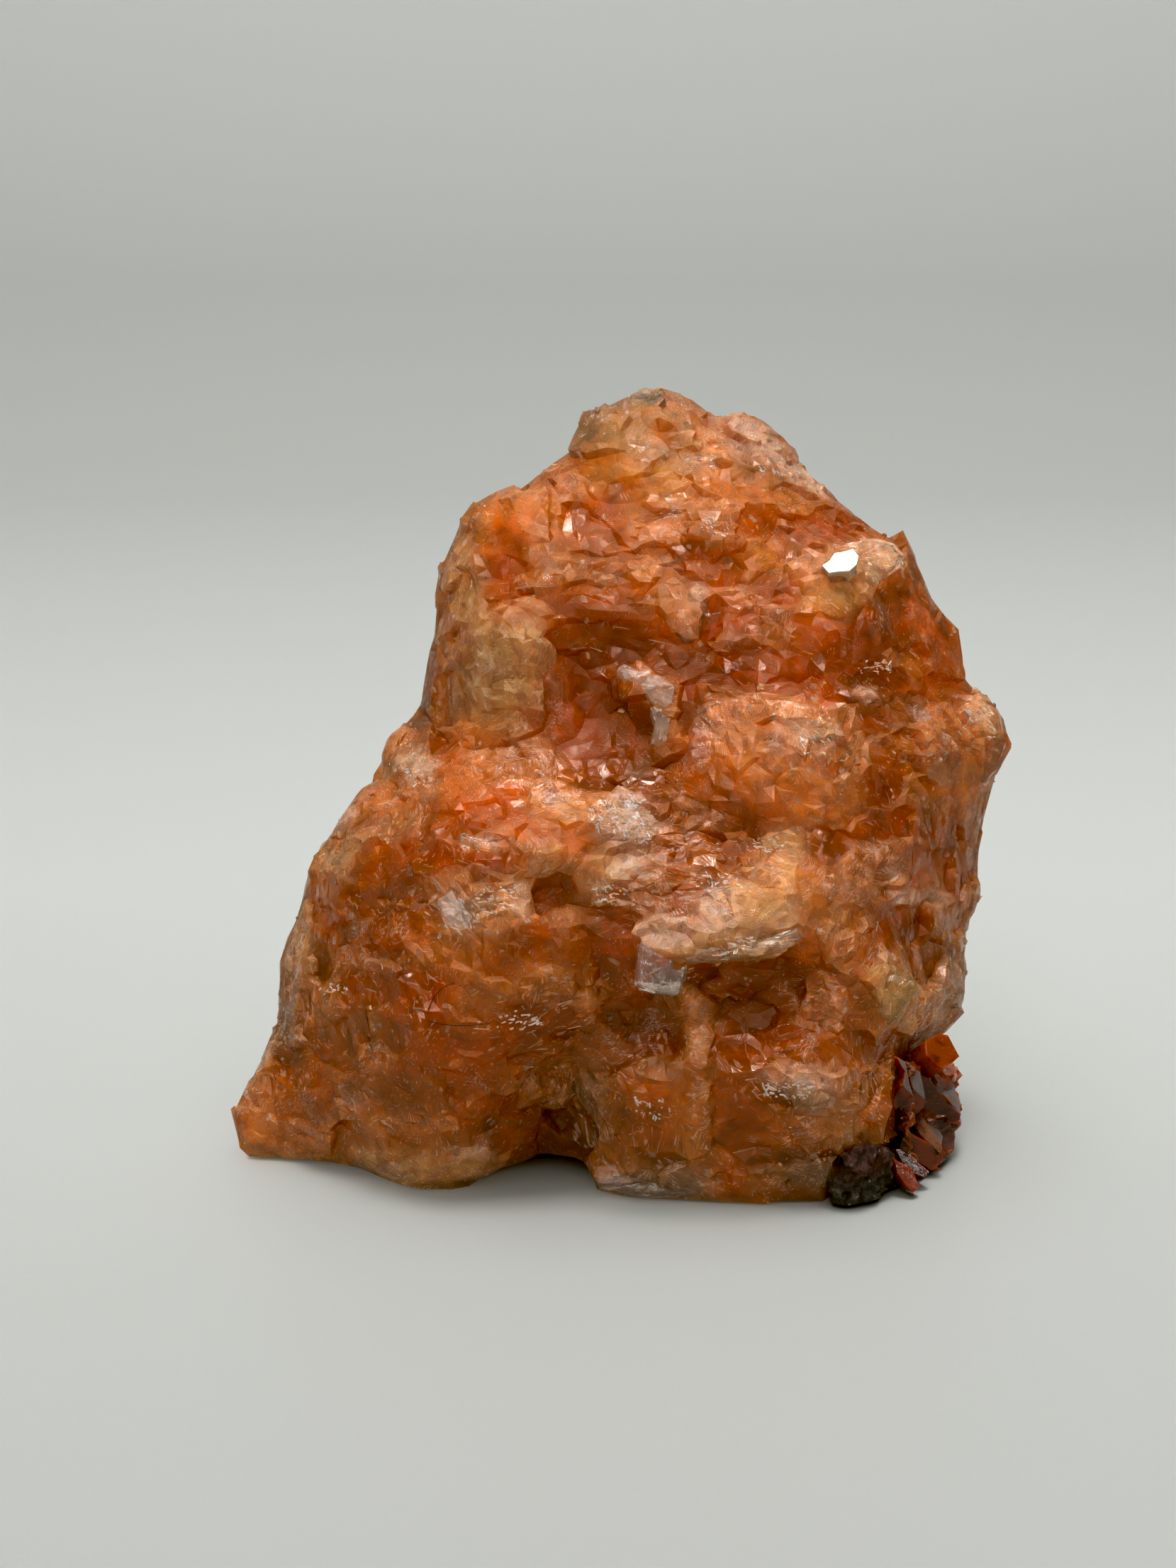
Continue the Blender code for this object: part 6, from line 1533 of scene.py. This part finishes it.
def splinter_material(name, base, rough, through):
    n = Nodes(name)
    mm = millimetres(n)
    tone = n.noise(mm, 1.2, 3.0, 0.6)
    n.link(n.mix(n.ramp(tone, 0.4, 0.65), (*base, 1), (base[0] * 0.97, base[1] * 0.74, base[2] * 0.58, 1)), n.shader.inputs["Base Color"])
    n.link(n.ramp(n.noise(mm, 4.0, 3.0), 0.35, 0.7, rough * 0.5, rough * 1.6), n.shader.inputs["Roughness"])
    n.shader.inputs["IOR"].default_value = 1.49
    n.shader.inputs["Transmission Weight"].default_value = through
    bump = n.node("ShaderNodeBump")
    bump.inputs["Strength"].default_value = 0.4
    bump.inputs["Distance"].default_value = 0.0002
    n.link(n.noise(mm, 8.0, 3.0), bump.inputs["Height"])
    n.link(bump.outputs["Normal"], n.shader.inputs["Normal"])
    return n.material


def lint_mesh(tree):
    """Two hair-thin fibres of dust that lie on the lower left of the lump."""
    verts, faces = [], []
    for ends in (((604, 1426), (614, 1392), (641, 1387)), ((604, 1440), (640, 1452), (691, 1443))):
        a, b, c = (np.array(q, float) for q in ends)
        path = []
        for k in range(19):
            t = k / 18
            spot = a * (1 - t) ** 2 + b * 2 * t * (1 - t) + c * t * t
            ray = sight(*spot)
            hit = tree.ray_cast(Vector(EYE), Vector(ray))[0]
            path.append((hit - Vector(EYE)).length)
        path = np.convolve(np.pad(path, 3, mode="edge"), np.ones(7) / 7, mode="valid")
        places = []
        for k in range(19):
            t = k / 18
            spot = a * (1 - t) ** 2 + b * 2 * t * (1 - t) + c * t * t
            places.append(EYE + unit(sight(*spot)) * (path[k] - 0.00016))
        places = np.array(places)
        start = len(verts)
        for k, q in enumerate(places):
            along = unit(places[min(k + 1, 18)] - places[max(k - 1, 0)])
            side, up = basis(along)
            for j in range(6):
                turn = j / 6 * 2 * math.pi
                verts.append(tuple(q + (side * math.cos(turn) + up * math.sin(turn)) * 0.000028))
        for k in range(18):
            for j in range(6):
                m = (j + 1) % 6
                faces.append((start + 6 * k + j, start + 6 * k + m, start + 6 * k + 6 + m, start + 6 * k + 6 + j))
        faces += [tuple(start + j for j in reversed(range(6))), tuple(start + 108 + j for j in range(6))]
    mesh = bpy.data.meshes.new("lint_fibres")
    mesh.from_pydata(verts, [], faces)
    mesh.validate()
    return mesh


def lint_material():
    n = Nodes("lint_fibres")
    n.link(n.mix(n.ramp(n.noise(millimetres(n), 3.0), 0.4, 0.6), (0.030, 0.012, 0.008, 1), (0.075, 0.030, 0.018, 1)), n.shader.inputs["Base Color"])
    n.shader.inputs["Roughness"].default_value = 0.55
    return n.material


def flash_facet(tree):
    """One cleavage face that leans just so, and mirrors the overhead light."""
    outline = np.array([(1159, 798), (1170, 791), (1177, 780), (1190, 778), (1204, 774), (1212, 784), (1209, 796), (1199, 805), (1184, 806), (1168, 808)], float)
    middle = outline.mean(0)
    ray = sight(*middle)
    hit = np.array(tree.ray_cast(Vector(EYE), Vector(ray))[0]) - ray * 0.0010
    facing = unit(unit(EYE - hit) + unit(np.array(OVERHEAD) - hit))
    layers = []
    for scale, back in ((0.94, 0.0), (1.0, 0.08), (0.9, 1.2)):
        layer = []
        for q in outline:
            s = sight(*(middle + (q - middle) * scale))
            layer.append(EYE + s * (((hit - EYE) @ facing) / (s @ facing)) - facing * back / 1000)
        layers.append(layer)
    count = len(outline)
    verts = [tuple(q) for layer in layers for q in layer]
    faces = [tuple(range(count)), tuple(reversed(range(2 * count, 3 * count)))]
    for k in range(2):
        faces += [(k * count + i, (k + 1) * count + i, (k + 1) * count + (i + 1) % count, k * count + (i + 1) % count) for i in range(count)]
    mesh = bpy.data.meshes.new("flash_facet")
    mesh.from_pydata(verts, [], faces)
    bm = bmesh.new()
    bm.from_mesh(mesh)
    bmesh.ops.recalc_face_normals(bm, faces=bm.faces)
    bm.to_mesh(mesh)
    bm.free()
    return mesh


def flash_material():
    n = Nodes("flash_facet")
    mm = millimetres(n)
    # Painted highlight: the near-white colour paints the flash on this facet, beside the real mirror image of the
    # overhead lamp from its part-metal finish.
    n.link(n.mix(n.ramp(n.noise(mm, 2.5, 3.0), 0.4, 0.7), (0.95, 0.92, 0.86, 1), (0.95, 0.84, 0.55, 1)), n.shader.inputs["Base Color"])
    n.link(n.ramp(n.noise(mm, 5.0, 3.0), 0.3, 0.7, 0.05, 0.16), n.shader.inputs["Roughness"])
    n.shader.inputs["Metallic"].default_value = 0.55
    n.shader.inputs["IOR"].default_value = 1.54
    return n.material


def chipped(mesh, share):
    """The same surface in fewer, larger and flatter faces, as breaking leaves it."""
    old = arrays_of(mesh)[0]
    kept = []
    for layer in mesh.attributes:
        if layer.name in ("tint", "finish", "fibre", "clear", "paleness"):
            wide = {"FLOAT_COLOR": 4, "FLOAT_VECTOR": 3, "FLOAT": 1}[layer.data_type]
            data = np.empty(len(old) * wide, np.float32)
            layer.data.foreach_get({4: "color", 3: "vector", 1: "value"}[wide], data)
            kept.append((layer.name, wide, data.reshape(-1, wide)))
    thing = bpy.data.objects.new("chipped", mesh)
    bpy.context.scene.collection.objects.link(thing)
    cut = thing.modifiers.new("cut", "DECIMATE")
    cut.ratio = share
    cut.use_collapse_triangulate = True
    shape = thing.evaluated_get(bpy.context.evaluated_depsgraph_get()).to_mesh()
    count = len(shape.vertices)
    co = np.empty(count * 3, np.float32)
    shape.vertices.foreach_get("co", co)
    co = co.reshape(-1, 3)
    faces = [tuple(f.vertices) for f in shape.polygons]
    bpy.data.objects.remove(thing)
    made = bpy.data.meshes.new(mesh.name + "_chipped")
    made.from_pydata(co.tolist(), [], faces)
    tree = KDTree(len(old))
    for i, place in enumerate(old):
        tree.insert(place, i)
    tree.balance()
    found = np.array([tree.find(place)[1] for place in co])
    for name, wide, data in kept:
        if wide == 4:
            set_colour(made, name, data[found, :3], data[found, 3])
        elif wide == 3:
            set_vector(made, name, data[found])
        else:
            set_value(made, name, data[found, 0])
    return made


studio()
mass_mesh, skin, skin_normal, skin_finish, skin_fibre, heart_tint = build_lump()
body = add_piece("polyhalite_body", chipped(mass_mesh, 0.13), mass_material(), ["polyhalite_mass"], 4)
body.visible_shadow = False
add_piece("polyhalite_heart", chipped(build_heart(skin, heart_tint), 0.20), heart_material(), (), 15)
skin_tree = bvh_of(mass_mesh)

clear_kinds = {}
for number, row in enumerate(CRYSTALS):
    if row[7] not in clear_kinds:
        clear_kinds[row[7]] = clear_material(row[7])
    crystal = cut_crystal(row, skin_tree, np.random.default_rng(400 + number))
    add_piece(row[0], crystal, clear_kinds[row[7]], (), 14).visible_shadow = False

chance = 0.15 + skin_finish[:, 0] * 1.2
flakes = splinters("flakes", scatter_spots(mass_mesh, skin_finish, 1000, 21, 0.06, 0.34, 0.22, 0.3, chance), np.random.default_rng(22))
add_piece("cleavage_flakes", flakes, splinter_material("cleavage_flakes", (0.95, 0.80, 0.68), 0.12, 0.75)).visible_shadow = False
needles = splinters("needles", fibre_spots(skin_tree, 31, FIBRES, 0.25), np.random.default_rng(32))
add_piece("fibre_needles", needles, splinter_material("fibre_needles", (0.92, 0.70, 0.58), 0.16, 0.60)).visible_shadow = False

tufts = splinters("tufts", fibre_spots(skin_tree, 33, TUFTS, 1.2, 1.6), np.random.default_rng(34))
add_piece("pale_tufts", tufts, splinter_material("pale_tufts", (0.97, 0.89, 0.84), 0.12, 0.20)).visible_shadow = False
add_piece("lint_fibres", lint_mesh(skin_tree), lint_material())
add_piece("flash_facet", flash_facet(skin_tree), flash_material())
plates = plates_mesh("blade_plates", BLADES, np.random.default_rng(41))
blades_look = blade_material()
add_piece("blade_plates", plates, blades_look, ["bladed_crystals"])
add_piece("blade_root", blade_root(), blades_look, ["bladed_crystals"], 30)
add_piece("host_rock", rock_mesh(), rock_material(), ["dark_matrix"], 40)
